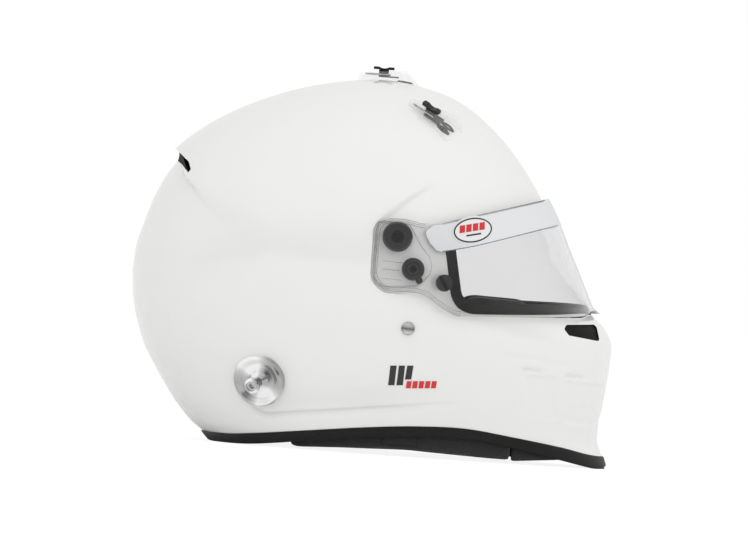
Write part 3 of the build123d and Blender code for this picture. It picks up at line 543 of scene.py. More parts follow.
def tube(name: str, rings: Sequence[Values], smooth: float = 40, flip: bool = False) -> Piece:
    """Make a closed tube, whose section and path both end where they start.

    Args:
        name: The piece's name.
        rings: For each point of the section, its places along the path.
        smooth: Edges flatter than this many degrees are shaded smooth.
        flip: Whether the faces look the other way.

    Returns:
        The piece.
    """
    points = np.stack(rings, axis=1)
    rows, columns = points.shape[:2]
    faces = grid_faces(rows + 1, columns, wrap=True, flip=flip)
    joined_faces = [tuple(k % (rows * columns) for k in face) for face in faces]
    return mesh_object(name, points.reshape(-1, 3), joined_faces, smooth)


def prism(outline: Sequence[Point], near: float, far: float) -> tuple[list, list]:
    """A side-view outline pushed across the helmet.

    Args:
        outline: Its points in the side view.
        near: The smaller y.
        far: The larger y.

    Returns:
        Points and faces.
    """
    count = len(outline)
    points = [(x, near, z) for x, z in outline] + [(x, far, z) for x, z in outline]
    area = sum(a[0] * b[1] - b[0] * a[1] for a, b in zip(outline, [*outline[1:], outline[0]]))
    order = list(range(count)) if area > 0 else list(range(count))[::-1]
    faces = [tuple(order), tuple(count + k for k in order[::-1])]
    for k in range(count):
        here, after = order[k], order[(k + 1) % count]
        faces.append((after, here, count + here, count + after))
    return points, faces


def joined(name: str, solids: Sequence[tuple[list, list]]) -> Piece:
    """One object of several closed solids.

    Args:
        name: Its name.
        solids: Points and faces of each.

    Returns:
        The object.
    """
    points: list = []
    faces: list = []
    for solid_points, solid_faces in solids:
        first = len(points)
        points.extend(solid_points)
        faces.extend(tuple(first + k for k in face) for face in solid_faces)
    return mesh_object(name, np.array(points, float), faces)


class Cut(Enum):
    """What a cutter does to a piece."""

    TAKE = "DIFFERENCE"
    KEEP = "INTERSECT"


def mark_edges(piece: Piece, cutter: Piece) -> None:
    """Let a cutter's faces leave the second material on a piece.

    Args:
        piece: The piece.
        cutter: What cuts it.
    """
    for thing in (piece, cutter):
        for name in ("skin_mark", "edge_mark"):
            mark = bpy.data.materials.get(name) or bpy.data.materials.new(name)
            thing.data.materials.append(mark)
    cutter.data.polygons.foreach_set("material_index", [1] * len(cutter.data.polygons))


def bevel(piece: Piece, width: float, segments: int = 3, mark: int = -1) -> None:
    """Round a piece's sharp edges.

    Args:
        piece: The piece.
        width: How wide, in millimetres.
        segments: How many faces across.
        mark: The material slot of the new faces, or -1 for their neighbours'.
    """
    modifier = piece.modifiers.new("round", "BEVEL")
    modifier.width, modifier.segments, modifier.material = width * MM, segments, mark
    modifier.limit_method, modifier.angle_limit = "ANGLE", radians(50)
    settle(piece)
    shade(piece, 30)


def cut(piece: Piece, cutter: Piece, way: Cut, smooth: float = 30) -> None:
    """Cut a piece with another, which is removed.

    Args:
        piece: The piece.
        cutter: What cuts it.
        way: Whether the cutter takes or keeps what it covers.
        smooth: Edges flatter than this many degrees are shaded smooth.
    """
    modifier = piece.modifiers.new("cut", "BOOLEAN")
    modifier.object, modifier.operation, modifier.solver = cutter, way.value, "EXACT"
    settle(piece)
    bpy.data.objects.remove(cutter)
    shade(piece, smooth)


def settle(piece: Piece) -> None:
    """Turn a piece's modifiers into its mesh.

    Args:
        piece: The piece.
    """
    graph = bpy.context.evaluated_depsgraph_get()
    mesh = bpy.data.meshes.new_from_object(piece.evaluated_get(graph))
    piece.modifiers.clear()
    piece.data = mesh


def mirrored(piece: Piece, name: str) -> Piece:
    """The mirror image of a piece across the middle plane.

    Args:
        piece: The piece.
        name: The new piece's name.

    Returns:
        The new piece.
    """
    mesh = piece.data.copy()
    mesh.transform(Matrix.Scale(-1, 4, (0, 1, 0)))
    mesh.flip_normals()
    twin = bpy.data.objects.new(name, mesh)
    bpy.context.scene.collection.objects.link(twin)
    return twin


# Shader arithmetic


class Wire:
    """A shader socket that takes part in Python arithmetic."""

    def __init__(self, tree: "Tree", socket: bpy.types.NodeSocket) -> None:
        """Hold the socket and the tree that it is in."""
        self.tree, self.socket = tree, socket

    def __add__(self, other: "Wire | float") -> "Wire":
        """This plus other."""
        return self.tree.maths("ADD", self, other)

    __radd__ = __add__

    def __sub__(self, other: "Wire | float") -> "Wire":
        """This less other."""
        return self.tree.maths("SUBTRACT", self, other)

    def __rsub__(self, other: "Wire | float") -> "Wire":
        """Other less this."""
        return self.tree.maths("SUBTRACT", other, self)

    def __mul__(self, other: "Wire | float") -> "Wire":
        """This times other."""
        return self.tree.maths("MULTIPLY", self, other)

    __rmul__ = __mul__


class Tree:
    """The nodes of a material or of the surroundings."""

    def __init__(self, owner: Material | bpy.types.World) -> None:
        """Empty the nodes of this owner.

        Args:
            owner: What the nodes belong to.
        """
        self.owner = owner
        owner.use_nodes = True
        self.nodes, self.links = owner.node_tree.nodes, owner.node_tree.links
        self.nodes.clear()

    def node(self, kind: str, settings: Optional[dict] = None,
             sockets: Optional[dict] = None) -> bpy.types.Node:
        """Add a node.

        Args:
            kind: Its type.
            settings: Its own settings, set first; stops are a ramp's stops.
            sockets: Values or links of its sockets, by name or number.

        Returns:
            The node.
        """
        made = self.nodes.new(kind)
        for key, value in (settings or {}).items():
            if key == "stops":
                for k, (place, colour) in enumerate(value):
                    stops = made.color_ramp.elements
                    stop = stops[k] if k < len(stops) else stops.new(place)
                    stop.position, stop.color = place, colour
            else:
                setattr(made, key, value)
        for key, value in (sockets or {}).items():
            if isinstance(value, Wire):
                self.links.new(value.socket, made.inputs[key])
            else:
                made.inputs[key].default_value = value
        return made

    def out(self, node: bpy.types.Node, key: str | int = 0) -> Wire:
        """A node's output as a wire."""
        return Wire(self, node.outputs[key])

    def maths(self, operation: str, first: Wire | float, second: Wire | float = 0.0) -> Wire:
        """The result of a Math node on two values."""
        return self.out(self.node("ShaderNodeMath", {"operation": operation}, {0: first, 1: second}))

    def vectors(self, operation: str, first: Wire | tuple, second: Wire | tuple, key: str = "Vector") -> Wire:
        """The result of a Vector Math node on two vectors, from the output of this name."""
        sockets = {0: first, ("Scale" if operation == "SCALE" else 1): second}
        return self.out(self.node("ShaderNodeVectorMath", {"operation": operation}, sockets), key)

    def grey(self, value: Wire) -> Wire:
        """A grey of a wire's value."""
        return self.vectors("SCALE", (1, 1, 1), value)

    def blend(self, share: Wire | float, first: Wire | tuple, second: Wire | tuple) -> Wire:
        """The first colour with a share of the second mixed in."""
        made = self.node("ShaderNodeMix", {"data_type": "RGBA"}, {0: share, 6: first, 7: second})
        return self.out(made, 2)

    def dot(self, first: Wire | tuple, second: Wire | tuple) -> Wire:
        """The dot product of two vectors."""
        return self.vectors("DOT_PRODUCT", first, second, "Value")

    def length(self, vector: Wire) -> Wire:
        """The length of a vector."""
        return self.vectors("LENGTH", vector, (0, 0, 0), "Value")

    def clamp(self, value: Wire) -> Wire:
        """A value held between 0 and 1."""
        return self.maths("MINIMUM", self.maths("MAXIMUM", value, 0.0), 1.0)

    def cells(self, scale: float, randomness: float = 1.0) -> Wire:
        """How far a place is from the middle of its cell, in a pattern of many cells."""
        sockets = {"Vector": self.place(), "Scale": scale, "Randomness": randomness}
        return self.out(self.node("ShaderNodeTexVoronoi", {"feature": "F1"}, sockets), 0)

    def seen(self) -> Wire:
        """1 where the camera looks straight or through something clear, and 0 elsewhere."""
        path = self.node("ShaderNodeLightPath")
        return self.maths("MAXIMUM", self.out(path, "Is Camera Ray"), self.out(path, "Is Transmission Ray"))

    def place(self, scale: Triple = (1, 1, 1), turn: Triple = (0, 0, 0)) -> Wire:
        """A place on the piece, scaled and turned.

        Args:
            scale: Scale along each axis.
            turn: Turn about each axis, in radians.

        Returns:
            The place.
        """
        where = self.out(self.node("ShaderNodeTexCoord"), "Object")
        made = self.node("ShaderNodeMapping", {}, {"Vector": where, "Rotation": turn, "Scale": scale})
        return self.out(made)

    def along(self, start: float, end: float) -> Wire:
        """How far a place is between two places along the helmet, from 0 to 1.

        Args:
            start: Where it is 0.
            end: Where it is 1.

        Returns:
            The share.
        """
        where = self.out(self.node("ShaderNodeTexCoord"), "Object")
        parts = self.node("ShaderNodeSeparateXYZ", {}, {"Vector": where})
        settings = {"interpolation_type": "SMOOTHSTEP"}
        sockets = {"Value": self.out(parts, "X"), "From Min": start, "From Max": end}
        return self.out(self.node("ShaderNodeMapRange", settings, sockets))

    def noise(self, scale: float, detail: float = 2, where: Optional[Wire] = None) -> Wire:
        """Even noise from 0 to 1, with a scale and finer layers, read at a place."""
        sockets = {"Vector": where or self.place(), "Scale": scale, "Detail": detail}
        return self.out(self.node("ShaderNodeTexNoise", {}, sockets), 0)

    def bump(self, height: Wire, strength: float, distance: float) -> Wire:
        """A normal roughened by a height, whose size is in metres."""
        sockets = {"Height": height, "Strength": strength, "Distance": distance}
        return self.out(self.node("ShaderNodeBump", {}, sockets))

    def finish(self, shader: Wire) -> Material:
        """Send a shader to the output and return the material."""
        self.node("ShaderNodeOutputMaterial", {}, {"Surface": shader})
        return self.owner


def grey(value: float) -> Colour:
    """A grey of this value."""
    return value, value, value, 1.0


def shaded(colour: Colour, share: float) -> Colour:
    """A colour made darker or lighter by a share."""
    return colour[0] * share, colour[1] * share, colour[2] * share, 1.0


@dataclass(frozen=True)
class Finish:
    """A surface with an even grain: paint, moulded plastic or rubber."""

    name: str
    colour: Colour
    roughness: float = 0.4
    metallic: float = 0.0
    coat: float = 0.0
    spread: float = 0.06
    grain: float = 900.0
    depth: float = 0.00004
    strength: float = 0.3
    specular: float = 0.5
    coat_roughness: float = 0.03
    sheen: float = 0.0
    alpha: float = 1.0

    def pattern(self, tree: Tree) -> tuple[Wire, Wire]:
        """The surface's cloudiness and grain, each from 0 to 1."""
        return tree.noise(26, 3), tree.noise(self.grain, 2)

    def tint(self, tree: Tree, colour: Wire) -> Wire:
        """The surface's colour with what is painted over it, which is nothing here."""
        return colour

    def make(self) -> Material:
        """Make the material.

        Returns:
            The material.
        """
        tree = Tree(bpy.data.materials.new(self.name))
        cloud, height = self.pattern(tree)
        colour = tree.blend(cloud, shaded(self.colour, 1 - self.spread), shaded(self.colour, 1 + self.spread))
        sockets = {
            "Base Color": self.tint(tree, colour),
            "Roughness": self.roughness * 0.85 + cloud * (self.roughness * 0.3),
            "Metallic": self.metallic,
            "Specular IOR Level": self.specular,
            "Coat Weight": self.coat,
            "Coat Roughness": self.coat_roughness,
            "Sheen Weight": self.sheen,
            "Alpha": self.alpha,
            "Normal": tree.bump(height, self.strength, self.depth),
        }
        return tree.finish(tree.out(tree.node("ShaderNodeBsdfPrincipled", {}, sockets)))


@dataclass(frozen=True)
class GlossPaint(Finish):
    """Gloss paint with painted shade laid softly along the fold above the shell's foot, where the fold's
    shadow falls, in millimetres.
    """

    slope: float = 0.134
    height: float = 32.9
    start: float = -66.0
    sag: float = 0.03
    shade: float = 0.80
    spread_above: float = 2.0
    spread_below: float = 6.25
    rear: Point = (-96.0, -76.0)
    front: Point = (68.75, 6.25)

    def fade(self, tree: Tree, x: Wire, ends: Point) -> Wire:
        """How far a place along the helmet is from one of two places to the other, from 0 to 1."""
        return tree.clamp((x - ends[0]) * (1 / (ends[1] - ends[0])))

    def tint(self, tree: Tree, colour: Wire) -> Wire:
        """Paint the fold's shade into the colour along the fold.

        Args:
            tree: The material's nodes.
            colour: The plain colour.

        Returns:
            The colour with the fold's painted shade.
        """
        x, z = tree.dot(tree.place(), (1 / MM, 0, 0)), tree.dot(tree.place(), (0, 0, 1 / MM))
        behind = tree.maths("MAXIMUM", self.start - x, 0.0)
        off = z - x * self.slope - self.height - behind * behind * self.sag
        above, below = tree.maths("MAXIMUM", off, 0.0), tree.maths("MAXIMUM", off * -1, 0.0)
        near = 1.0 - above * (1 / self.spread_above) - below * (1 / self.spread_below)
        near = tree.maths("MAXIMUM", near, 0.0)
        ends = self.fade(tree, x, self.rear) * self.fade(tree, x, self.front)
        # painted shade: the colour darkens near the fold line, where the fold's shadow falls, and fades out
        # at both ends
        return tree.blend(near * near * ends, colour, shaded(self.colour, self.shade))


@dataclass(frozen=True)
class TurnedMetal(Finish):
    """Metal turned on a lathe about an axis, with fine rings and a painted highlight in a bow across them."""

    centre: Triple = (0.0, 0.0, 0.0)
    axis: Triple = (0.0, 1.0, 0.0)
    rings: float = 9000.0
    ring_depth: float = 0.35
    highlight_way: Triple = (0.85, -0.2, 0.45)
    sharpness: float = 5.0
    highlight_strength: float = 1.6

    def pattern(self, tree: Tree) -> tuple[Wire, Wire]:
        """Rings about the axis, and a painted highlight in a bow across them.

        Args:
            tree: The material's nodes.

        Returns:
            The painted highlight with cloudiness, and height, each from 0 to 1.
        """
        aside = tree.vectors("CROSS_PRODUCT", tree.vectors("SUBTRACT", tree.place(), self.centre), self.axis)
        wave = tree.maths("SINE", tree.length(aside) * self.rings)
        way = tree.vectors("NORMALIZE", aside, (0, 0, 0))
        # painted highlight: the colour is brightest where the direction about the axis lines up with one way
        bow = tree.maths("POWER", tree.maths("ABSOLUTE", tree.dot(way, self.highlight_way)), self.sharpness)
        painted_highlight = bow * self.highlight_strength + tree.noise(120, 3) * 0.4
        return painted_highlight, wave * self.ring_depth + tree.noise(700, 2) * 0.5


@dataclass(frozen=True)
class BrushedMetal(Finish):
    """Metal with fine lines along one axis."""

    stretch: Triple = (60.0, 60.0, 4000.0)

    def pattern(self, tree: Tree) -> tuple[Wire, Wire]:
        """Cloudiness, and lines along the axis that is stretched least."""
        return tree.noise(90, 3), tree.noise(1, 2, tree.place(self.stretch))


@dataclass(frozen=True)
class DomedSteel(Finish):
    """A polished dome with a painted dark reflection across its middle and painted shade towards its edge."""

    centre: Triple = (0.0248, 0.0, 0.0902)
    radius: float = 0.0047
    reflection_height: float = -0.05
    reflection_sharpness: float = 1.7
    reflection_light: float = 0.12
    shaded_rim_start: float = 3.2
    shaded_rim_sharpness: float = 2.6

    def pattern(self, tree: Tree) -> tuple[Wire, Wire]:
        """A painted dark reflection line and a painted shaded rim.

        Args:
            tree: The material's nodes.

        Returns:
            Painted brightness and height, each from 0 to 1.
        """
        where = tree.vectors("SUBTRACT", tree.place(), self.centre)
        up = tree.dot(where, (0.05, 0, 1)) * (1 / self.radius)
        out = tree.length(tree.vectors("MULTIPLY", where, (1, 0, 1))) * (1 / self.radius)
        # painted reflection: a dark line across the dome's middle; painted shade: darker towards the rim
        off = tree.maths("ABSOLUTE", up - self.reflection_height)
        line = tree.maths("MINIMUM", off * self.reflection_sharpness + self.reflection_light, 1.0)
        return line * tree.clamp(self.shaded_rim_start - out * self.shaded_rim_sharpness), tree.noise(900, 2)


@dataclass(frozen=True)
class SilverFilm(Finish):
    """Bright film that is darker towards the rear, as it turns away from the light."""

    rear: float = 0.034
    front: float = 0.095
    darkest: float = -2.5
    rise: float = 6.0
    stretch: Triple = (40.0, 40.0, 900.0)

    def pattern(self, tree: Tree) -> tuple[Wire, Wire]:
        """Brightness that rises to the front, and fine lines."""
        lines = tree.noise(1, 2, tree.place(self.stretch))
        return tree.along(self.rear, self.front) * self.rise + self.darkest + lines, lines


@dataclass(frozen=True)
class Cloth(Finish):
    """Woven or knitted cloth with a nap."""

    threads: float = 2600.0
    turn: float = 0.6

    def pattern(self, tree: Tree) -> tuple[Wire, Wire]:
        """Crossing threads with fuzz over them.

        Args:
            tree: The material's nodes.

        Returns:
            Cloudiness and height, each from 0 to 1.
        """
        waves = []
        for turn in ((0, 0, self.turn), (self.turn, 0, self.turn + pi / 2), (pi / 2, self.turn, 0)):
            settings = {"wave_type": "BANDS", "bands_direction": "X"}
            sockets = {"Vector": tree.place(turn=turn), "Scale": self.threads / 10, "Distortion": 1.2,
                       "Detail": 2.0}
            waves.append(tree.out(tree.node("ShaderNodeTexWave", settings, sockets), 1))
        fuzz = tree.noise(2200, 3)
        weave = (waves[0] + waves[1] + waves[2]) * 0.25 + fuzz * 0.5
        return tree.noise(60, 4) * 0.6 + weave * 0.4, weave


@dataclass(frozen=True)
class Beads(Finish):
    """Foam moulded from beads."""

    bead: float = 330.0

    def pattern(self, tree: Tree) -> tuple[Wire, Wire]:
        """Cloudiness, and beads pressed together."""
        return tree.noise(40, 3), 1 - tree.cells(self.bead)


@dataclass(frozen=True)
class Netting(Finish):
    """A fine net of holes, as of a vent's mesh."""

    pitch: float = 620.0
    hole: float = 2.2
    unevenness: float = 0.15

    def pattern(self, tree: Tree) -> tuple[Wire, Wire]:
        """Round holes side by side, for colour and height alike."""
        holes = tree.maths("SMOOTH_MIN", tree.cells(self.pitch, self.unevenness) * self.hole, 1.0)
        return holes, holes


@dataclass(frozen=True)
class ClearPlastic(Finish):
    """Clear plastic that casts almost no shadow, a little darker over the eye opening than at its ears."""

    index: float = 1.3
    window: float = 0.88
    ear_end: Point = (0.044, 0.060)
    pass_colour: Colour = (0.995, 0.995, 0.995, 1.0)

    def make(self) -> Material:
        """Make the material.

        Returns:
            The material.
        """
        tree = Tree(bpy.data.materials.new(self.name))
        cloud = tree.noise(30, 2)
        smoke = tree.along(*self.ear_end) * (1 - self.spread * cloud)
        tint = tree.blend(smoke, self.colour, shaded(self.colour, self.window))
        sockets = {
            "Base Color": tint,
            "Roughness": self.roughness + cloud * self.roughness,
            "IOR": self.index,
            "Specular IOR Level": self.specular,
            "Transmission Weight": 1.0,
        }
        body = tree.out(tree.node("ShaderNodeBsdfPrincipled", {}, sockets))
        clear = tree.out(tree.node("ShaderNodeBsdfTransparent", {}, {"Color": self.pass_colour}))
        shadow = tree.out(tree.node("ShaderNodeLightPath"), "Is Shadow Ray")
        return tree.finish(tree.out(tree.node("ShaderNodeMixShader", {}, {0: shadow, 1: body, 2: clear})))


ANCHOR_CENTRE = (-0.0764839, -0.100168, 0.0461914)
ANCHOR_AXIS = (-0.378077, -0.865597, -0.328330)


def across(vector: Triple) -> Triple:
    """The mirror image of a vector across the middle plane."""
    return vector[0], -vector[1], vector[2]


class Finishes:
    """All of the helmet's finishes, made once."""

    def __init__(self) -> None:
        """Make every material."""
        # The white paint carries painted shade along the fold above the shell's foot.
        self.paint = GlossPaint("gloss_white_paint", (0.82, 0.82, 0.803, 1), roughness=0.16, coat=0.7,
                                spread=0.008, grain=420, depth=0.00002, strength=0.10,
                                coat_roughness=0.06).make()
        self.rubber = Finish("black_rubber", grey(0.008), roughness=0.5, spread=0.25, grain=1500,
                             depth=0.00008, specular=0.25).make()
        self.plastic = Finish("black_moulded_plastic", grey(0.007), roughness=0.35, spread=0.2, grain=1800,
                              depth=0.00005, specular=0.35).make()
        self.anodised = Finish("black_anodised_metal", grey(0.022), roughness=0.24, spread=0.2, grain=2200,
                               depth=0.00003, specular=0.9).make()
        self.steel = BrushedMetal("bright_steel", grey(0.56), roughness=0.24, metallic=1.0, spread=0.1,
                                  depth=0.00004).make()
        # The rivet's steel has a painted dark reflection across its middle and painted shade at its rim.
        self.rivet = DomedSteel("domed_steel", grey(0.36), roughness=0.3, metallic=0.9, spread=0.78,
                                depth=0.00002).make()
        # The turned aluminium has a painted highlight in a bow across its rings.
        turned = dict(colour=grey(0.72), roughness=0.2, metallic=1.0, spread=0.6, depth=0.00003,
                      strength=0.35)
        self.turned_right = TurnedMetal("turned_aluminium_right", **turned, centre=ANCHOR_CENTRE,
                                        axis=ANCHOR_AXIS).make()
        self.turned_left = TurnedMetal("turned_aluminium_left", **turned, centre=across(ANCHOR_CENTRE),
                                       axis=across(ANCHOR_AXIS)).make()
        self.silver = SilverFilm("silver_film", (0.73, 0.745, 0.76, 1), roughness=0.34, metallic=0.12,
                                 spread=0.03, depth=0.00001, strength=0.1).make()
        self.shield = ClearPlastic("clear_shield_plastic", (0.99, 0.99, 0.995, 1), roughness=0.01,
                                   spread=0.01, specular=0.35).make()
        # Painted shade on the shield's cut edges: a darker clear plastic that stands in for the dark lines
        # the edges show.
        self.shield_edge_shade = ClearPlastic("clear_shield_painted_edge_shade", (0.78, 0.785, 0.79, 1), roughness=0.05,
                                        spread=0.05).make()
        self.scoop = Finish("clear_vent_plastic", (0.80, 0.805, 0.81, 1), roughness=0.12, spread=0.05,
                            grain=500, alpha=0.09).make()
        self.plate = Finish("clear_plate_plastic", grey(0.86), roughness=0.14, spread=0.04, grain=300,
                            alpha=0.13).make()
        # Painted shade lines: thin dark sheets along the shield's steps and edges and the plates' edges and
        # grooves.
        self.line_shade = Finish("clear_plastic_painted_line_shade", grey(0.22), roughness=0.3, spread=0.2,
                             alpha=0.38).make()
        self.lining = Cloth("black_lining_cloth", grey(0.022), roughness=0.9, spread=0.45, depth=0.0003,
                            strength=0.6, sheen=0.35).make()
        self.webbing = Cloth("black_webbing", grey(0.018), roughness=0.75, spread=0.4, depth=0.0004,
                             strength=0.8, threads=1500.0).make()
        self.foam = Beads("black_bead_foam", grey(0.02), roughness=0.8, spread=0.3, depth=0.0006,
                          strength=0.6).make()
        self.netting = Netting("black_net", grey(0.006), roughness=0.6, spread=0.6, depth=0.0006,
                               strength=0.9, specular=0.15).make()
        self.red = Finish("red_film", (0.62, 0.015, 0.02, 1), roughness=0.3, coat=0.3, spread=0.05).make()
        # Black print on the bars and badges, and painted shade in the screw sockets and the posts' slots.
        self.black_print_and_painted_shade = Finish("black_print_and_painted_shade", grey(0.012), roughness=0.3, coat=0.3, spread=0.1).make()
        self.white_film = Finish("white_film", grey(0.78), roughness=0.28, coat=0.4, spread=0.01).make()


class Slot(Enum):
    """The record's material slots."""

    PAINT = "shell_paint"
    RUBBER = "seal_rubber"
    SHIELD = "clear_shield"
    SILVER = "silver_film"
    PLASTIC = "black_plastic"
    METAL = "black_metal"
    FABRIC = "lining_fabric"
    WEBBING = "webbing"


@dataclass
class SubAssembly:
    """Pieces that belong together, and how they are dressed and placed."""

    finishes: Finishes
    made: list[str] = field(default_factory=list)

    def fit(self, piece: Piece, material: Material, body: str, slot: Slot, *nodes: str,
            edge: Optional[Material] = None) -> Piece:
        """Dress a piece, let it ride, hide the CAD nodes that it stands for and list its name.

        Args:
            piece: The piece.
            material: Its material.
            body: The CAD body that it rides on.
            slot: The record's slot of its finish; not used.
            nodes: The CAD nodes that it stands for.
            edge: The material of its cut edges.

        Returns:
            The piece.
        """
        marks = [face.material_index for face in piece.data.polygons]
        piece.data.materials.clear()
        for each in (material, edge):
            if each:
                piece.data.materials.append(each)
        if edge:
            piece.data.polygons.foreach_set("material_index", marks)
        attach(piece, body)
        if nodes:
            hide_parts(*nodes)
        self.made.append(piece.name)
        return piece

    def fit_pair(self, right: Piece, name: str, material: Material, body: str, slot: Slot) -> None:
        """Fit a piece of the right side and its mirror image.

        Args:
            right: The piece.
            name: The two pieces' common name.
            material: Their material.
            body: The body that they ride on.
            slot: The slot of their finish.
        """
        for piece in (right, mirrored(right, f"{name}_left")):
            self.fit(piece, material, body, slot)

    def dress(self, material: Material, *nodes: str) -> None:
        """Give CAD nodes a material.

        Args:
            material: The material.
            nodes: The nodes.
        """
        for node in nodes:
            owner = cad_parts[node]
            owner.data.materials.clear()
            owner.data.materials.append(material)
            shade(owner, 32)
            self.made.append(node)


# Shell


@dataclass(frozen=True)
class VentPlace:
    """Where a top vent sits: its origin and its own axes, in millimetres."""

    origin: Triple
    along: Triple
    aside: Triple
    up: Triple

    def world(self, points: Values) -> Values:
        """Points of the vent's own frame in the helmet's frame."""
        axes = np.array([self.along, self.aside, self.up])
        return np.asarray(self.origin) + np.asarray(points, float) @ axes

    def twin(self) -> "VentPlace":
        """The place of the same vent on the helmet's other side."""
        aside = (-self.aside[0], self.aside[1], -self.aside[2])
        return VentPlace(across(self.origin), across(self.along), aside, across(self.up))


RIGHT_VENT = VentPlace((26.9334, -62.7595, 238.475), (0.818928, -0.326981, -0.471636),
                       (0.524013, 0.761154, 0.382173), (0.234024, -0.560115, 0.794672))
VENTS = {
    "centre": VentPlace((-6.2154, 0, 261.822), (1, 0, 0), (0, 1, 0), (0, 0, 1)),
    "right": RIGHT_VENT,
    "left": RIGHT_VENT.twin(),
}

TRIM_LINE = (
    (-0.560, 0.025), (-0.290, 0.025), (-0.232, 0.032), (-0.116, 0.052), (0.000, 0.071), (0.101, 0.083),
    (0.203, 0.086), (0.304, 0.071), (0.405, 0.052), (0.458, 0.038), (0.487, 0.034), (0.560, 0.034),
)
TRIM_FOOT = (
    (-0.560, 0.000), (-0.300, 0.000), (-0.232, 0.003), (-0.116, 0.023), (0.000, 0.042), (0.101, 0.054),
    (0.203, 0.057), (0.304, 0.042), (0.410, 0.016), (0.456, 0.004), (0.477, 0.000), (0.560, 0.000),
)
EYEPORT = ((0.1405, 0.6065), (0.5500, 0.7752), (0.5500, 0.4290), (0.1709, 0.4085))
EYEPORT_RADII = (8, 0, 0, 14)
EYEPORT_STEPS = 10
SHELL_WALL = 3.0
TRIM_BITE = 4.5


@dataclass(frozen=True)
class Groove:
    """A soft groove moulded along a line of the shell's side, in millimetres."""

    line: Sequence[Point]
    depth: float
    spread_above: float
    spread_below: float
    rise: Point
    fall: Point

    def at(self, x: Values, z: Values) -> Values:
        """How deep the groove is at places of the side view.

        Args:
            x: The places along the helmet.
            z: Their heights.

        Returns:
            The depths.
        """
        aside, along = line_distance(x, z, self.line)
        near = np.exp(-((aside / np.where(aside > 0, self.spread_above, self.spread_below)) ** 2))
        return self.depth * near * ramp(along, *self.rise) * (1 - ramp(along, *self.fall))


GROOVES = (
    Groove(((-84.0, 27.5), (-76.0, 24.2), (-66.0, 24.0), (-50.0, 26.0), (-30.0, 28.4), (0.0, 32.2),
            (23.5, 35.3), (44.0, 38.2), (66.0, 41.0)), depth=2.4, spread_above=11.0, spread_below=2.2,
           rise=(0.0, 0.12), fall=(0.55, 1.0)),
    Groove(((88.0, 75.3), (111.0, 74.9), (129.0, 72.8), (146.0, 70.0)), depth=0.35, spread_above=1.8,
           spread_below=1.8, rise=(0.0, 0.15), fall=(0.8, 1.0)),
)


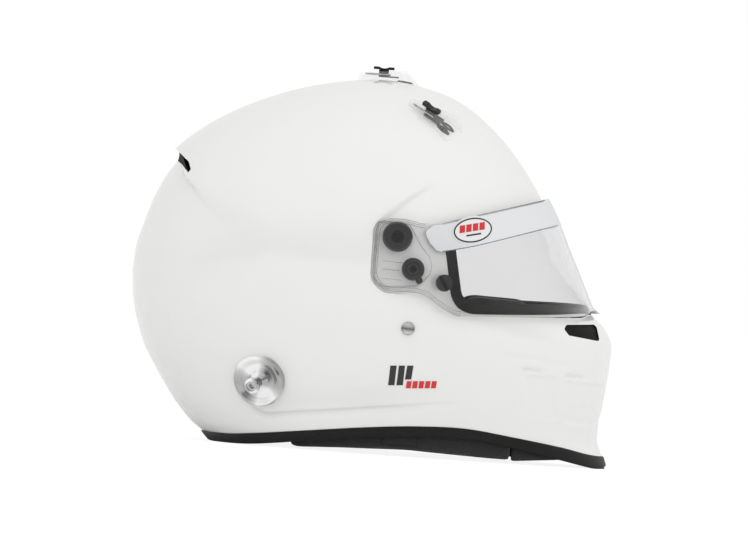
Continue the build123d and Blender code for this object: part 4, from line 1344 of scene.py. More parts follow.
@dataclass
class Shell(SubAssembly):
    """The white moulded shell with its spoiler lip, pods, folds and openings, in millimetres."""

    wall: float = SHELL_WALL
    bite: float = TRIM_BITE
    columns: int = 480
    row_step: float = 1.3
    shoulder: float = 185.0
    crown_rows: int = 110
    crown_tip: float = 0.12
    pod_floor: float = 116.4
    ear_floor: float = 118.9
    pod_flat: float = 3.5
    pod_draft: float = 9.0
    ear_grow: float = 1.2
    plate_grow: float = 0.4
    spoiler_fade: Point = (-146.0, -94.0)
    spoiler_rise: Point = (105.0, 140.0)
    spoiler_step: float = 3.2
    spoiler_melt: float = 36.0
    spoiler_sink: float = 0.55
    fold_depth: float = 1.5
    fold_edge: float = 3.5
    fold_flat: float = 3.0
    fold_tail: float = 16.0
    inlet_depth: float = 1.6
    inlet_spread: float = 1.5
    panel_depth: float = 0.55
    panel_edge: float = 0.8
    lip_half: float = 66.0
    chin_start: float = 20.0
    port_centre: float = 16.6
    port_aside: float = 2.2
    port_run: float = 2.5
    port_radius: float = 1.5
    port_depths: Point = (-14.0, 9.0)
    net_turn: float = 0.72
    net_depths: Point = (-0.25, -1.4)
    net_lean: float = 5.2
    edge: float = 0.5

    def heights(self, turn: Values) -> Values:
        """Heights of the grid's rows at each angle, from the shell's foot to the crown.

        Args:
            turn: The angles from the front.

        Returns:
            The heights, rows by angles.
        """
        foot = BODY.along_line(BODY.line(TRIM_LINE), turn) - self.bite
        count = int(self.shoulder / self.row_step)
        share = np.linspace(0, 1, count, endpoint=False)[:, None]
        low = foot[None, :] + share * (self.shoulder - foot[None, :])
        place = np.linspace(-sqrt(BODY.height - self.shoulder), -self.crown_tip, self.crown_rows)
        high = np.repeat((BODY.height - place**2)[:, None], len(turn), axis=1)
        return np.concatenate([low, high])

    def spoiler_share(self, x: Values, z: Values) -> Values:
        """How much of the spoiler's fuller form shows at each place.

        Args:
            x: The places along the helmet.
            z: Their heights.

        Returns:
            The shares.
        """
        line = np.array(BODY.spots((
            (-0.560, 0.812), (-0.426, 0.771), (-0.399, 0.742), (-0.389, 0.707), (-0.362, 0.675),
            (-0.275, 0.591), (-0.188, 0.497), (-0.090, 0.375),
        )))
        edge = np.interp(x, line[:, 0], line[:, 1])
        fade = ramp(x, *self.spoiler_fade)
        soft = self.spoiler_step + self.spoiler_melt * fade
        return ramp((z - edge) / soft + 1 - self.spoiler_sink * fade, 0, 1)

    def relief(self, x: Values, z: Values) -> Values:
        """How far the moulded details stand off the smooth body, in millimetres.

        Args:
            x: The places along the helmet.
            z: Their heights.

        Returns:
            The distances, less than 0 where they sink in.
        """
        ear_fold = ((-9.0, 149.0), (-5.3, 157.0), (1.5, 167.0), (9.7, 174.5), (20.0, 183.5), (33.0, 193.0),
                    (46.0, 200.0))
        aside, along = line_distance(x, z, ear_fold)
        tail = np.exp(-np.maximum(-aside - self.fold_flat, 0) / self.fold_tail)
        inside = ramp(-aside, 0, self.fold_edge) * tail
        ends = ramp(along, 0.0, 0.2) * (1 - ramp(along, 0.6, 1.0)) * ramp(z, 140, 160)
        total = -self.fold_depth * np.where(aside < 0, inside, 0) * ends
        for groove in GROOVES:
            total -= groove.at(x, z)
        for start, end, height, drop in ((107.5, 128.0, 66.6, 0.3), (137.5, 157.5, 64.2, -0.6)):
            middle = height + drop * (x - start) / (end - start)
            length = ramp(x, start - 0.6, start + 1.2) * (1 - ramp(x, start + 6, end))
            total -= self.inlet_depth * length * np.exp(-(((z - middle) / self.inlet_spread) ** 2))
        for corners in (((108.3, 63.5), (133.0, 62.6), (134.0, 33.0), (110.5, 34.8)),
                        ((137.4, 61.0), (166.0, 59.0), (166.0, 30.0), (140.0, 31.0))):
            off = outline_distance(x, z, rounded(corners, 3))
            total -= self.panel_depth * (1 - ramp(off, -self.panel_edge, self.panel_edge))
        return total

    def surface(self) -> tuple[Values, Values]:
        """The shell's outer and inner faces as grids of points.

        Returns:
            Outer and inner points, rows by angles by 3.
        """
        turn = around(self.columns)
        z = self.heights(turn)
        turns = np.repeat(turn[None, :], len(z), axis=0)
        x, y = BODY.ring(turns, z)
        full_x, full_y = BODY.ring(turns, z, spoiler=True)
        above = (z / BODY.height >= BODY.spoiler_foot) * ramp(z, *self.spoiler_rise)
        share = self.spoiler_share(x, z) * above
        smooth_body = np.stack([x, y, z], axis=-1)
        down = np.gradient(smooth_body, axis=0)
        round_ = np.roll(smooth_body, -1, axis=1) - np.roll(smooth_body, 1, axis=1)
        normal = np.cross(round_, down)
        normal /= np.maximum(np.linalg.norm(normal, axis=-1, keepdims=True), 1e-9)
        body = smooth_body.copy()
        body[..., 0] += share * (full_x - x)
        body[..., 1] += share * (full_y - y)
        body += normal * self.relief(x, z)[..., None]
        inside = smooth_body - normal * self.wall
        reach = 1 - ramp(outline_distance(x, z, PLATE_OUTLINE), self.pod_flat, self.pod_draft)
        over = np.maximum(np.abs(inside[..., 1]) - self.pod_floor + self.wall, 0) * reach
        inside[..., 1] -= np.sign(inside[..., 1]) * over
        return body, inside

    def closed(self) -> Piece:
        """The whole shell before its openings are cut."""
        outer, inner = self.surface()
        return skin_object("helmet_shell", outer, inner, wrap=True, smooth=28, capped=True)

    def openings(self) -> Piece:
        """Everything that is cut out of the shell, as one cutter.

        Returns:
            The cutter.
        """
        eyeport = rounded(BODY.spots(EYEPORT), EYEPORT_RADII, EYEPORT_STEPS)
        chin = rounded(BODY.spots((
            (0.390, 0.369), (0.394, 0.381), (0.452, 0.386), (0.458, 0.379), (0.466, 0.342), (0.401, 0.353),
        )), 1.6, 5)
        rear = BODY.spots((
            (-0.560, 0.812), (-0.426, 0.771), (-0.399, 0.742), (-0.389, 0.707), (-0.392, 0.704),
            (-0.414, 0.734), (-0.432, 0.749), (-0.560, 0.790),
        ))
        far = BODY.width
        solids = [prism(eyeport, -far, far), prism(rear, -self.lip_half, self.lip_half)]
        solids += [prism(chin, -far, -self.chin_start), prism(chin, self.chin_start, far)]
        for place in VENTS.values():
            solids += [self.port(place, aside) for aside in (-self.port_aside, self.port_aside)]
        return joined("shell_cutter", solids)

    def port(self, place: VentPlace, aside: float, count: int = 32) -> tuple[list, list]:
        """A long round hole under a top vent.

        Args:
            place: Where the vent sits.
            aside: How far the hole is to its side.
            count: How many points go round it.

        Returns:
            Points and faces.
        """
        turn = around(count)
        x = self.port_centre + np.where(np.cos(turn) >= 0, self.port_run, -self.port_run)
        x = x + self.port_radius * np.cos(turn)
        y = aside + self.port_radius * np.sin(turn)
        rings = [np.column_stack([x, y, np.full(count, depth)]) for depth in self.port_depths]
        faces = [tuple(range(count))[::-1], tuple(range(count, 2 * count))]
        faces += [(k, (k + 1) % count, count + (k + 1) % count, count + k) for k in range(count)]
        return place.world(np.concatenate(rings)).tolist(), faces

    def pods(self) -> list[Piece]:
        """What is cut out of the shell for the shield's ears and the plates under them.

        Returns:
            A cutter for the ears and one for the plates.
        """
        far, least = BODY.width, 0.25
        cutters = []
        for line, grow, floor in ((SHIELD_OUTLINE, self.ear_grow, self.ear_floor),
                                  (PLATE_OUTLINE, self.plate_grow, self.pod_floor)):
            apart = [spot for k, spot in enumerate(line) if np.hypot(*np.subtract(spot, line[k - 1])) > least]
            edge = inset(apart, -grow)
            cutters.append(joined("pod_cutter", [prism(edge, -far, -floor), prism(edge, floor, far)]))
        return cutters

    def net(self) -> None:
        """The black net in the slot under the spoiler lip."""
        turn = np.linspace(pi - self.net_turn, pi + self.net_turn, 80)
        low = BODY.line((
            (-0.560, 0.775), (-0.432, 0.744), (-0.414, 0.729), (-0.392, 0.700), (-0.380, 0.680),
        ))
        high = BODY.line((
            (-0.560, 0.830), (-0.426, 0.785), (-0.399, 0.757), (-0.389, 0.727), (-0.380, 0.700),
        ))
        share = np.linspace(0, 1, 9)[:, None]
        faces = []
        for grow in self.net_depths:
            bottom, top = BODY.along_line(low, turn, grow), BODY.along_line(high, turn, grow)
            z = bottom + share * (top - bottom)
            x, y = BODY.ring(turn + 0 * z, z, grow)
            faces.append(np.stack([x - self.net_lean * share**1.5, y, z], axis=-1))
        piece = skin_object("rear_slot_net", faces[0], faces[1])
        self.fit(piece, self.finishes.netting, "helmet", Slot.PLASTIC, "rear_vent_mesh")

    def build(self) -> None:
        """Make the shell and dress it."""
        shell = self.closed()
        for cutter in (*self.pods(), self.openings()):
            cut(shell, cutter, Cut.TAKE, 28)
        bevel(shell, self.edge, 2)
        self.fit(shell, self.finishes.paint, "helmet", Slot.PAINT, "shell")
        self.net()


# Rubber parts


def sweep(name: str, path: Values, out: Values, section: Sequence[Point]) -> Piece:
    """Carry a closed section along a closed path.

    Args:
        name: The piece's name.
        path: The path's points.
        out: The outward direction at each point.
        section: Its points as (towards the opening, outward).

    Returns:
        The piece.
    """
    inward = np.cross(headings(path), out)
    inward /= np.linalg.norm(inward, axis=1, keepdims=True)
    return tube(name, [path + inward * aside + out * up for aside, up in section])


@dataclass
class Rubber(SubAssembly):
    """The edge trim and the seal round the eye opening, in millimetres."""

    columns: int = 420
    proud: float = 1.0
    inner_wall: float = 1.5
    toe: Point = (150.0, 172.0)
    toe_thin: float = 0.9
    toe_slant: float = 0.8
    toe_slant_top: float = 1.7
    toe_round: float = 0.5
    toe_round_middle: float = 1.4
    toe_round_reach: float = 2.0
    eye_start: float = 80.0
    eye_turn: float = 1.45
    bite: float = TRIM_BITE
    wall: float = SHELL_WALL

    def trim(self) -> None:
        """The channel that the shell's lower edge stands in."""
        turn = around(self.columns)
        line, foot = BODY.line(TRIM_LINE), BODY.line(TRIM_FOOT)
        inside = self.wall + self.inner_wall
        proud, wall, deep = self.proud, -self.wall, -self.bite
        at_line = ((0.02, 0.0), (0.55, -0.12), (0.9, -0.6), (proud, -1.3))
        at_foot = ((proud, 2.6), (proud - 0.15, 1.5), (0.7, 0.5), (0.0, 0.0), (-inside + 0.8, 0.0),
                   (-inside, 0.8))
        back = ((-inside, -0.7), (-inside + 0.6, 0.0), (wall, 0.0), (wall, deep), (0.0, deep))
        rings = []
        for height, points in ((line, at_line), (foot, at_foot), (line, back)):
            for grow, lift in points:
                z = BODY.along_line(height, turn, grow)
                z = np.maximum(z + lift, 0.0 if lift <= 0 else lift * 0.5)
                x, y = BODY.ring(turn, z, grow)
                toe = ramp(x, *self.toe) if grow > 0 else 0.0
                if height is line:
                    x = x - toe * self.toe_thin * grow
                else:
                    high = self.toe_round_reach - abs(self.toe_round_middle - lift)
                    x = x - toe * self.toe_slant * max(self.toe_slant_top - lift, 0)
                    z = z + toe * self.toe_round * max(high, 0)
                rings.append(np.stack([x, y, z], axis=-1))
        piece = tube("lower_edge_trim", rings)
        self.fit(piece, self.finishes.rubber, "helmet", Slot.RUBBER, "edge_trim")

    def eye_path(self) -> tuple[Values, Values]:
        """The eye opening's edge on the shell's outer face, as a closed path with outward directions.

        Returns:
            The path's points and the directions.
        """
        corners = BODY.spots(EYEPORT)
        loop = rounded(corners, EYEPORT_RADII, EYEPORT_STEPS)
        start = max(range(len(loop)), key=lambda k: (loop[k][0], -loop[k][1]))
        loop = [point for point in loop[start:] + loop[:start] if point[0] < self.eye_start]
        sides = []
        for start, end in ((corners[0], corners[1]), (corners[3], corners[2])):
            slope = (end[1] - start[1]) / (end[0] - start[0])
            turns = np.linspace(0, self.eye_turn, 800)
            z = BODY.along_line(lambda x: start[1] + slope * (x - start[0]), turns)
            x, y = BODY.ring(turns, z)
            keep = x >= self.eye_start
            sides.append(np.stack([x[keep], -y[keep], z[keep]], axis=-1))
        rear = np.array([(x, -float(BODY.side(np.array(x), np.array(z))), z) for x, z in loop])
        if rear[0, 2] > rear[-1, 2]:
            rear = rear[::-1]
        right = np.concatenate([sides[1], rear, sides[0][::-1]])
        left = right[::-1] * (1, -1, 1)
        path = np.concatenate([right, left[1:-1]])
        even = spread(path, self.columns)
        return even, surface_normals(even)

    def seal(self) -> None:
        """The rubber seal over both faces of the shell's edge."""
        path, out = self.eye_path()
        section = (
            (-4.8, 0.05), (-4.8, 0.6), (-4.3, 1.05), (-3.4, 1.25), (-0.5, 1.2), (1.9, 1.15), (2.8, 0.8),
            (3.2, 0.1), (3.2, -5.2), (2.8, -5.9), (-4.2, -6.0), (-5.0, -5.3), (-5.0, -3.05),
            (-0.05, -3.05), (-0.05, 0.05),
        )
        piece = sweep("eye_opening_seal", path, out, section)
        self.fit(piece, self.finishes.rubber, "helmet", Slot.RUBBER, "eyeport_gasket")

    def build(self) -> None:
        """Make both rubber parts."""
        self.trim()
        self.seal()


def surface_normals(points: Values) -> Values:
    """Outward directions of the body at points on it.

    Args:
        points: The points.

    Returns:
        Unit directions.
    """
    x, y, z = points.T
    rear, front, side, widest = BODY.section(z)
    reach = np.where(x >= widest, front - widest, widest - rear)
    power = BODY.fullness - 1
    flat_x = np.sign(x - widest) * (np.abs(x - widest) / reach) ** power / reach
    flat_y = np.sign(y) * (np.abs(y) / side) ** power / side
    step = 0.5
    flat_z = (BODY.level(x, y, z + step) - BODY.level(x, y, z - step)) / (2 * step) / BODY.fullness
    normal = np.stack([flat_x, flat_y, flat_z], axis=-1)
    return normal / np.linalg.norm(normal, axis=1, keepdims=True)


# Thin layers


@dataclass(frozen=True)
class Layer:
    """A thin layer on the shell or shield: how far its back and face stand off the body, in millimetres."""

    low: float
    high: float
    limit: float = 1000.0

    def faces(self, x: Values, z: Values) -> list[Values]:
        """The layer's face and back at places of the side view, on the helmet's right side.

        Args:
            x: The places along the helmet.
            z: Their heights.

        Returns:
            The face's points and the back's.
        """
        result = []
        for grow in (self.high, self.low):
            y = -np.minimum(BODY.side(x, z, grow), self.limit + grow - self.low)
            result.append(np.stack([x, y, z], axis=-1))
        return result

    def patch(self, name: str, corners: Sequence[Point], steps: int = 10) -> Piece:
        """A four-cornered patch.

        Args:
            name: The piece's name.
            corners: Its corners in order.
            steps: How many faces along and across.

        Returns:
            The patch.
        """
        along, up = np.meshgrid(np.linspace(0, 1, steps + 1), np.linspace(0, 1, steps + 1))
        a, b, c, d = (np.array(corner) for corner in corners)
        flat = ((1 - along) * (1 - up))[..., None] * a + (along * (1 - up))[..., None] * b
        flat = flat + (along * up)[..., None] * c + ((1 - along) * up)[..., None] * d
        faces = self.faces(flat[..., 0], flat[..., 1])
        return skin_object(name, faces[0], faces[1])

    def disc(self, name: str, outline: Callable[[float, float], Point]) -> Piece:
        """A round patch.

        Args:
            name: The piece's name.
            outline: The place at a share of the radius and an angle.

        Returns:
            The patch.
        """
        places = np.array([[outline(max(share, 0.01), turn) for turn in around(72)]
                           for share in np.linspace(0, 1, 7)])
        faces = self.faces(places[..., 0], places[..., 1])
        return skin_object(name, faces[0], faces[1], wrap=True, smooth=40)

    def ribbon(self, name: str, line: Sequence[Point], width: float, closed: bool = False) -> Piece:
        """A thin line.

        Args:
            name: The piece's name.
            line: Its points.
            width: Its width.
            closed: Whether its end joins its start.

        Returns:
            The ribbon.
        """
        spots = np.array([*line, line[0]] if closed else line, float)
        ahead = np.gradient(spots, axis=0)
        if closed:
            ahead[0] = ahead[-1] = (spots[1] - spots[-2]) / 2
        ahead /= np.maximum(np.linalg.norm(ahead, axis=1, keepdims=True), 1e-9)
        aside = ahead[:, ::-1] * (-1, 1)
        rows = np.stack([spots + aside * width * part for part in (-0.5, 0.5)], axis=0)
        faces = self.faces(rows[..., 0], rows[..., 1])
        return skin_object(name, faces[0], faces[1])


# Shield


@dataclass
class Shield(SubAssembly):
    """The clear shield with its two flat ears, the silver band and its badges, in millimetres."""

    gap: float = 1.7
    wall: float = 3.0
    ear_outer: float = 122.3
    pivot: Point = (12.81063, 153.7954)
    pivot_hole: float = 6.08
    slot_radius: float = 25.2
    slot_half: float = 3.5
    slot_start: float = -60.3
    travel: float = 44.0
    columns: int = 360
    rows: int = 150
    sheet_turn: float = 1.75
    sheet_low: float = 96.0
    sheet_high: float = 224.0
    reach: float = 150.0
    ear_low: float = 74.0
    ear_high: float = 40.0
    ear_middle: float = 125.0
    hole_from: float = 100.0
    hole_to: float = 140.0
    edge: float = 0.9
    film: float = 0.35
    film_gap: float = 0.03
    badge: Point = (65.2, 162.2)
    badge_long: float = 13.6
    badge_tall: float = 8.6
    badge_tilt: float = 13.0

    @property
    def outer(self) -> float:
        """How far the shield's outer face stands off the body."""
        return self.gap + self.wall

    def sheet(self, name: str, inner: float, outer: float, limit_in: float, limit_out: float) -> Piece:
        """A thick sheet off the body's front that is flat at its ears.

        Args:
            name: The piece's name.
            inner: How far the inner face stands off the body.
            outer: How far the outer face stands off the body.
            limit_in: The inner face's largest distance off the middle plane.
            limit_out: The outer face's largest distance off the middle plane.

        Returns:
            The sheet.
        """
        turn = np.linspace(-self.sheet_turn, self.sheet_turn, self.columns)[None, :]
        z = np.linspace(self.sheet_low, self.sheet_high, self.rows)[:, None]
        faces = []
        for grow, limit in ((outer, limit_out), (inner, limit_in)):
            x, y = BODY.ring(turn + 0 * z, z + 0 * turn, grow)
            faces.append(np.stack([x, np.clip(y, -limit, limit), z + 0 * turn], axis=-1))
        return skin_object(name, faces[0], faces[1], smooth=30)

    def slot(self) -> list[Point]:
        """The ear's arc slot in the side view.

        Returns:
            Its outline.
        """
        line: list[Point] = []
        angles = np.linspace(self.slot_start, self.slot_start - self.travel, 16)
        for side, run, first in ((1, angles, 0), (-1, angles[::-1], 180)):
            radius = self.slot_radius + side * self.slot_half
            line += [on_circle(self.pivot, radius, angle) for angle in run]
            middle = on_circle(self.pivot, self.slot_radius, run[-1])
            turns = [run[-1] + first - 180 * step / 8 for step in range(1, 8)]
            line += [on_circle(middle, self.slot_half, turn) for turn in turns]
        return line

    def holes(self) -> Piece:
        """The ears' pivot holes and arc slots as one cutter.

        Returns:
            The cutter.
        """
        circle = [on_circle(self.pivot, self.pivot_hole, 360 * step / 48) for step in range(48)]
        solids = []
        for near, far in ((-self.hole_to, -self.hole_from), (self.hole_from, self.hole_to)):
            solids += [prism(circle, near, far), prism(self.slot(), near, far)]
        return joined("ear_cutter", solids)

    def band(self) -> None:
        """The silver band along the shield's top."""
        shares = (
            (0.0910, 0.602), (0.1100, 0.621), (0.1290, 0.624), (0.1910, 0.649), (0.3450, 0.710),
            (0.5500, 0.791), (0.5500, 0.722), (0.3570, 0.640), (0.2010, 0.574), (0.1570, 0.559),
            (0.1300, 0.551), (0.1180, 0.554), (0.1040, 0.572),
        )
        low, high = self.film_gap, self.film
        piece = self.sheet("shield_band", self.outer + low, self.outer + high, self.ear_outer + low,
                           self.ear_outer + high)
        border = prism(rounded(BODY.spots(shares), 4.0), -self.reach, self.reach)
        cut(piece, joined("band_cutter", [border]), Cut.KEEP)
        self.fit(piece, self.finishes.silver, "shield", Slot.SILVER, "shield_strip")

    def badges(self) -> None:
        """Plain oval badges with a dark rim at the band's rear ends."""
        def oval(grow: float) -> Callable[[float, float], Point]:
            """An oval grown by some millimetres.

            Args:
                grow: The millimetres.

            Returns:
                A function from a share of the radius and an angle to a place.
            """
            def at(share: float, turn: float) -> Point:
                """The place in the side view."""
                long, tall = (self.badge_long + grow) * share, (self.badge_tall + grow) * share
                return leaned(self.badge, self.badge_tilt, long * cos(turn), tall * sin(turn))
            return at

        for name, material, grow, low, high in (("badge_edge", self.finishes.silver, 1.4, 0.02, 0.16),
                                                ("badge_rim", self.finishes.black_print_and_painted_shade, 0.0, 0.17, 0.30),
                                                ("badge_face", self.finishes.white_film, -1.0, 0.31, 0.42)):
            top = self.outer + self.film
            layer = Layer(top + low, top + high, self.ear_outer + self.film + low)
            self.fit_pair(layer.disc(f"{name}_right", oval(grow)), name, material, "shield", Slot.SILVER)

    def lines(self) -> None:
        """Thin dark ribbons of painted shade along the ears' rounded steps, the plates' edges and grooves and
        the band's edges.
        """
        flags = [x < (self.ear_low if z < self.ear_middle else self.ear_high) for x, z in SHIELD_OUTLINE]
        count = len(flags)
        start = next(k for k in range(count) if flags[k] and not flags[k - 1])
        order = [(start + k) % count for k in range(sum(flags))]
        ear = Layer(self.outer + 0.02, self.outer + 0.12, self.ear_outer)
        for name, depth, width in (("ear_line_outer", 0.5, 0.45), ("ear_line_middle", 1.7, 0.25),
                                   ("ear_line_inner", 3.2, 0.4)):
            moved = inset(SHIELD_OUTLINE, depth)
            self.pair(ear.ribbon(f"{name}_right", [moved[k] for k in order], width), name)
        plate = Layer(low=0.03, high=0.1, limit=119.03)
        edge = plate.ribbon("plate_line_right", inset(PLATE_OUTLINE, 0.9), 0.45, True)
        self.pair(edge, "plate_line", "helmet")
        for k, (height, far) in enumerate(((136.3, 18.0), (130.6, 16.0), (124.2, 18.0))):
            line = [(x, height - 0.04 * (x - 4)) for x in np.linspace(4, far, 12)]
            self.pair(plate.ribbon(f"plate_groove_{k}_right", line, 0.4), f"plate_groove_{k}", "helmet")
        low_line = ((0.1300, 0.5525), (0.1570, 0.5605), (0.2010, 0.5755), (0.3570, 0.6415), (0.4050, 0.6620))
        high_line = ((0.1270, 0.6265), (0.1910, 0.6525), (0.3450, 0.7135), (0.4050, 0.7372))
        band = Layer(self.outer + 0.36, self.outer + 0.46, self.ear_outer + 0.4)
        for name, line, width in (("band_edge_low", low_line, 0.7), ("band_edge_high", high_line, 0.5)):
            spots = np.array(BODY.spots(line))
            x = np.linspace(spots[0, 0], spots[-1, 0], 60)
            z = hermite(spots[:, 0], spots[:, 1], x)
            points = [(a, b) for a, b in zip(x, z) if BODY.side(a, b, band.high) > 24]
            self.pair(band.ribbon(f"{name}_right", points, width), name)

    def pair(self, piece: Piece, name: str, body: str = "shield") -> None:
        """Fit a painted shade line of the right side and its mirror image."""
        self.fit_pair(piece, name, self.finishes.line_shade, body, Slot.SHIELD)

    def build(self) -> None:
        """Make the shield, its band and badges."""
        piece = self.sheet("clear_face_shield", self.gap, self.outer, self.ear_outer - self.wall,
                           self.ear_outer)
        border = joined("shield_cutter", [prism(SHIELD_OUTLINE, -self.reach, self.reach)])
        mark_edges(piece, border)
        cut(piece, border, Cut.KEEP)
        cut(piece, self.holes(), Cut.TAKE)
        # the bevelled cut edges take the second material, the painted edge shade
        bevel(piece, self.edge, 3, 1)
        self.fit(piece, self.finishes.shield, "shield", Slot.SHIELD, "shield", edge=self.finishes.shield_edge_shade)
        self.band()
        self.badges()
        self.lines()


# Plain bars


@dataclass
class Films(SubAssembly):
    """Plain slanted bars on the helmet's sides and on the shield's badges, in millimetres."""

    side: Point = (13.9, 48.8)
    side_tilt: float = 4.2
    badge: Point = (65.0, 162.0)
    badge_tilt: float = 13.0

    def bars(self, name: str, boxes: Sequence[tuple], slant: float, material: Material,
             on_badge: bool = False) -> None:
        """Slanted bars on both sides of the helmet.

        Args:
            name: The pieces' common name.
            boxes: Left, bottom, right and top of each bar.
            slant: How far each leans forward over its height.
            material: Their material.
            on_badge: Whether they lie on the shield's badge, not on the helmet's side.
        """
        layer, origin, tilt = Layer(low=0.06, high=0.2), self.side, self.side_tilt
        body, slot = "helmet", Slot.PLASTIC
        if on_badge:
            layer, origin, tilt = Layer(low=5.5, high=5.6, limit=123.1), self.badge, self.badge_tilt
            body, slot = "shield", Slot.SILVER
        for k, (left, low, right, high) in enumerate(boxes):
            local = ((left, low), (right, low), (right + slant, high), (left + slant, high))
            corners = [leaned(origin, tilt, along, up) for along, up in local]
            self.fit_pair(layer.patch(f"{name}_{k}_right", corners), f"{name}_{k}", material, body, slot)

    def build(self) -> None:
        """Make the side bars and the badge's bars."""
        black, red = self.finishes.black_print_and_painted_shade, self.finishes.red
        self.bars("side_bar", ((0.0, 0.6, 4.4, 14.4), (5.9, 0.6, 10.3, 14.4), (11.8, 4.6, 16.2, 14.4)), 1.6,
                  black)
        self.bars("side_stripe", [(12.4 + 4.4 * k, -1.6, 15.8 + 4.4 * k, 3.4) for k in range(5)], 0.8, red)
        blocks = [(-9.4 + 4.7 * k, -0.6, -5.6 + 4.7 * k, 4.6) for k in range(4)]
        self.bars("badge_bar", blocks, 1.0, red, on_badge=True)
        self.bars("badge_line", [(-5.0, -3.6, 5.4, -2.5)], 0.3, black, on_badge=True)


# Hardware


@dataclass
class Hardware(SubAssembly):
    """The CAD's pivots, detents, posts, rivets, anchors and vents, with rims, sockets and slot floors on
    them; the sockets and slot floors are dark with painted shade.
    """

    port: Point = (16.6, 3.0)
    rim: Point = (5.0, 2.7)
    rim_section: Sequence[Point] = (
        (0.42, -2.0), (0.42, 0.5), (0.55, 0.9), (0.85, 0.9), (1.0, 0.4), (1.0, -2.0),
    )
    rim_squareness: float = 0.12
    slot_run: float = 4.9
    slot_radius: float = 0.75
    slot_tilt: float = -54.0
    slot_depths: Point = (0.02, 0.85)

    def on_body(self, place: VentPlace, along: Values, aside: Values) -> Values:
        """Heights, in a vent's own frame, at which places under it meet the body.

        Args:
            place: Where the vent sits.
            along: The places along it.
            aside: The places across it.

        Returns:
            The heights.
        """
        low, high = np.full_like(along, -20.0), np.full_like(along, 12.0)
        for _ in range(26):
            middle = (low + high) / 2
            out = BODY.level(*place.world(np.stack([along, aside, middle], axis=-1)).T) > 1
            low, high = np.where(out, low, middle), np.where(out, middle, high)
        return low

    def port_rims(self) -> None:
        """Black rims round the ports under the top vents."""
        turn = around(40)
        squareness = 1.0 + self.rim_squareness * np.cos(2 * turn)
        for side, place in VENTS.items():
            for number, aside in enumerate((-self.port[1], self.port[1])):
                rings = []
                for share, lift in self.rim_section:
                    a = self.port[0] + self.rim[0] * share * np.cos(turn) * squareness
                    b = aside + self.rim[1] * share * np.sin(turn)
                    height = self.on_body(place, a, b) + lift
                    rings.append(place.world(np.stack([a, b, height], axis=-1)))
                piece = tube(f"port_rim_{side}_{number}", rings)
                self.fit(piece, self.finishes.plastic, "helmet", Slot.PLASTIC)

    def face(self, node: str) -> tuple[Point, float]:
        """The middle of a right-hand CAD node in the side view, and how far out it reaches."""
        low, high = (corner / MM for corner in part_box(f"{node}_right"))
        return ((low[0] + high[0]) / 2, (low[2] + high[2]) / 2), low[1]

    def socket(self, node: str, name: str, bore: float, rim: float) -> None:
        """A hexagon socket in the face of a screw, on both sides of the helmet, dark with painted shade in
        its recess.

        Args:
            node: The screw's CAD node, without its side.
            name: The pieces' common name.
            bore: The socket's radius in millimetres.
            rim: How wide its edge is.
        """
        (x, z), reach = self.face(node)
        turn = around(48)
        hexagon = bore * cos(pi / 6) / np.cos((turn + pi / 6) % (pi / 3) - pi / 6)
        edge = bore + rim + 0 * turn
        section = ((0.05 + 0 * turn, -0.3), (hexagon * 0.96, -0.3), (hexagon, 0.12), (edge, 0.12),
                   (edge + 0.3, -0.5))
        rings = []
        for radius, lift in section:
            y = reach - lift + 0 * turn
            rings.append(np.stack([x + radius * np.cos(turn), y, z + radius * np.sin(turn)], axis=-1))
        piece = tube(f"{name}_right", rings, 30, True)
        # painted shade: the whole socket is dark to stand in for the shade in its recess
        self.fit_pair(piece, name, self.finishes.black_print_and_painted_shade, "helmet", Slot.METAL)

    def post_slot_shade(self) -> None:
        """A thin dark sheet at the floor of the slot in the tear-off posts' heads, painted shade for the
        slot.
        """
        middle, reach = self.face("tearoff_post")
        turn = around(40)
        along = np.sign(np.cos(turn)) * self.slot_run + self.slot_radius * np.cos(turn)
        aside = self.slot_radius * np.sin(turn)
        outline = [leaned(middle, self.slot_tilt, a, b) for a, b in zip(along, aside)]
        near, far = self.slot_depths
        piece = joined("post_slot_right", [prism(outline, reach + near, reach + far)])
        # painted shade: a dark sheet laid where the slot's shade falls
        self.fit_pair(piece, "post_slot_shade", self.finishes.black_print_and_painted_shade, "shield", Slot.METAL)

    def build(self) -> None:
        """Make the port rims, the sockets and the slots' painted shade, and dress the CAD nodes."""
        self.port_rims()
        self.socket("pivot_screw", "pivot_socket", bore=3.1, rim=1.2)
        self.socket("detent_screw", "detent_socket", bore=1.9, rim=0.5)
        self.post_slot_shade()
        for side, turned in (("right", self.finishes.turned_right), ("left", self.finishes.turned_left)):
            for part in ("pivot_screw", "detent_cam", "detent_screw", "tearoff_post"):
                self.dress(self.finishes.anodised, f"{part}_{side}")
            self.dress(self.finishes.rivet, f"strap_rivet_{side}")
            self.dress(self.finishes.steel, f"anchor_screw_{side}")
            self.dress(turned, f"anchor_dish_{side}", f"anchor_post_{side}")
            self.dress(self.finishes.plate, f"side_plate_{side}")
            self.dress(self.finishes.netting, f"chin_vent_mesh_{side}")
        for side in ("centre", "right", "left"):
            self.dress(self.finishes.scoop, f"top_vent_cover_{side}")
            self.dress(self.finishes.plastic, f"top_vent_slider_{side}")
        self.dress(self.finishes.steel, "top_vent_pins", "d_ring_inner", "d_ring_outer")
        self.dress(self.finishes.foam, "impact_liner", "chin_foam")


# Padding


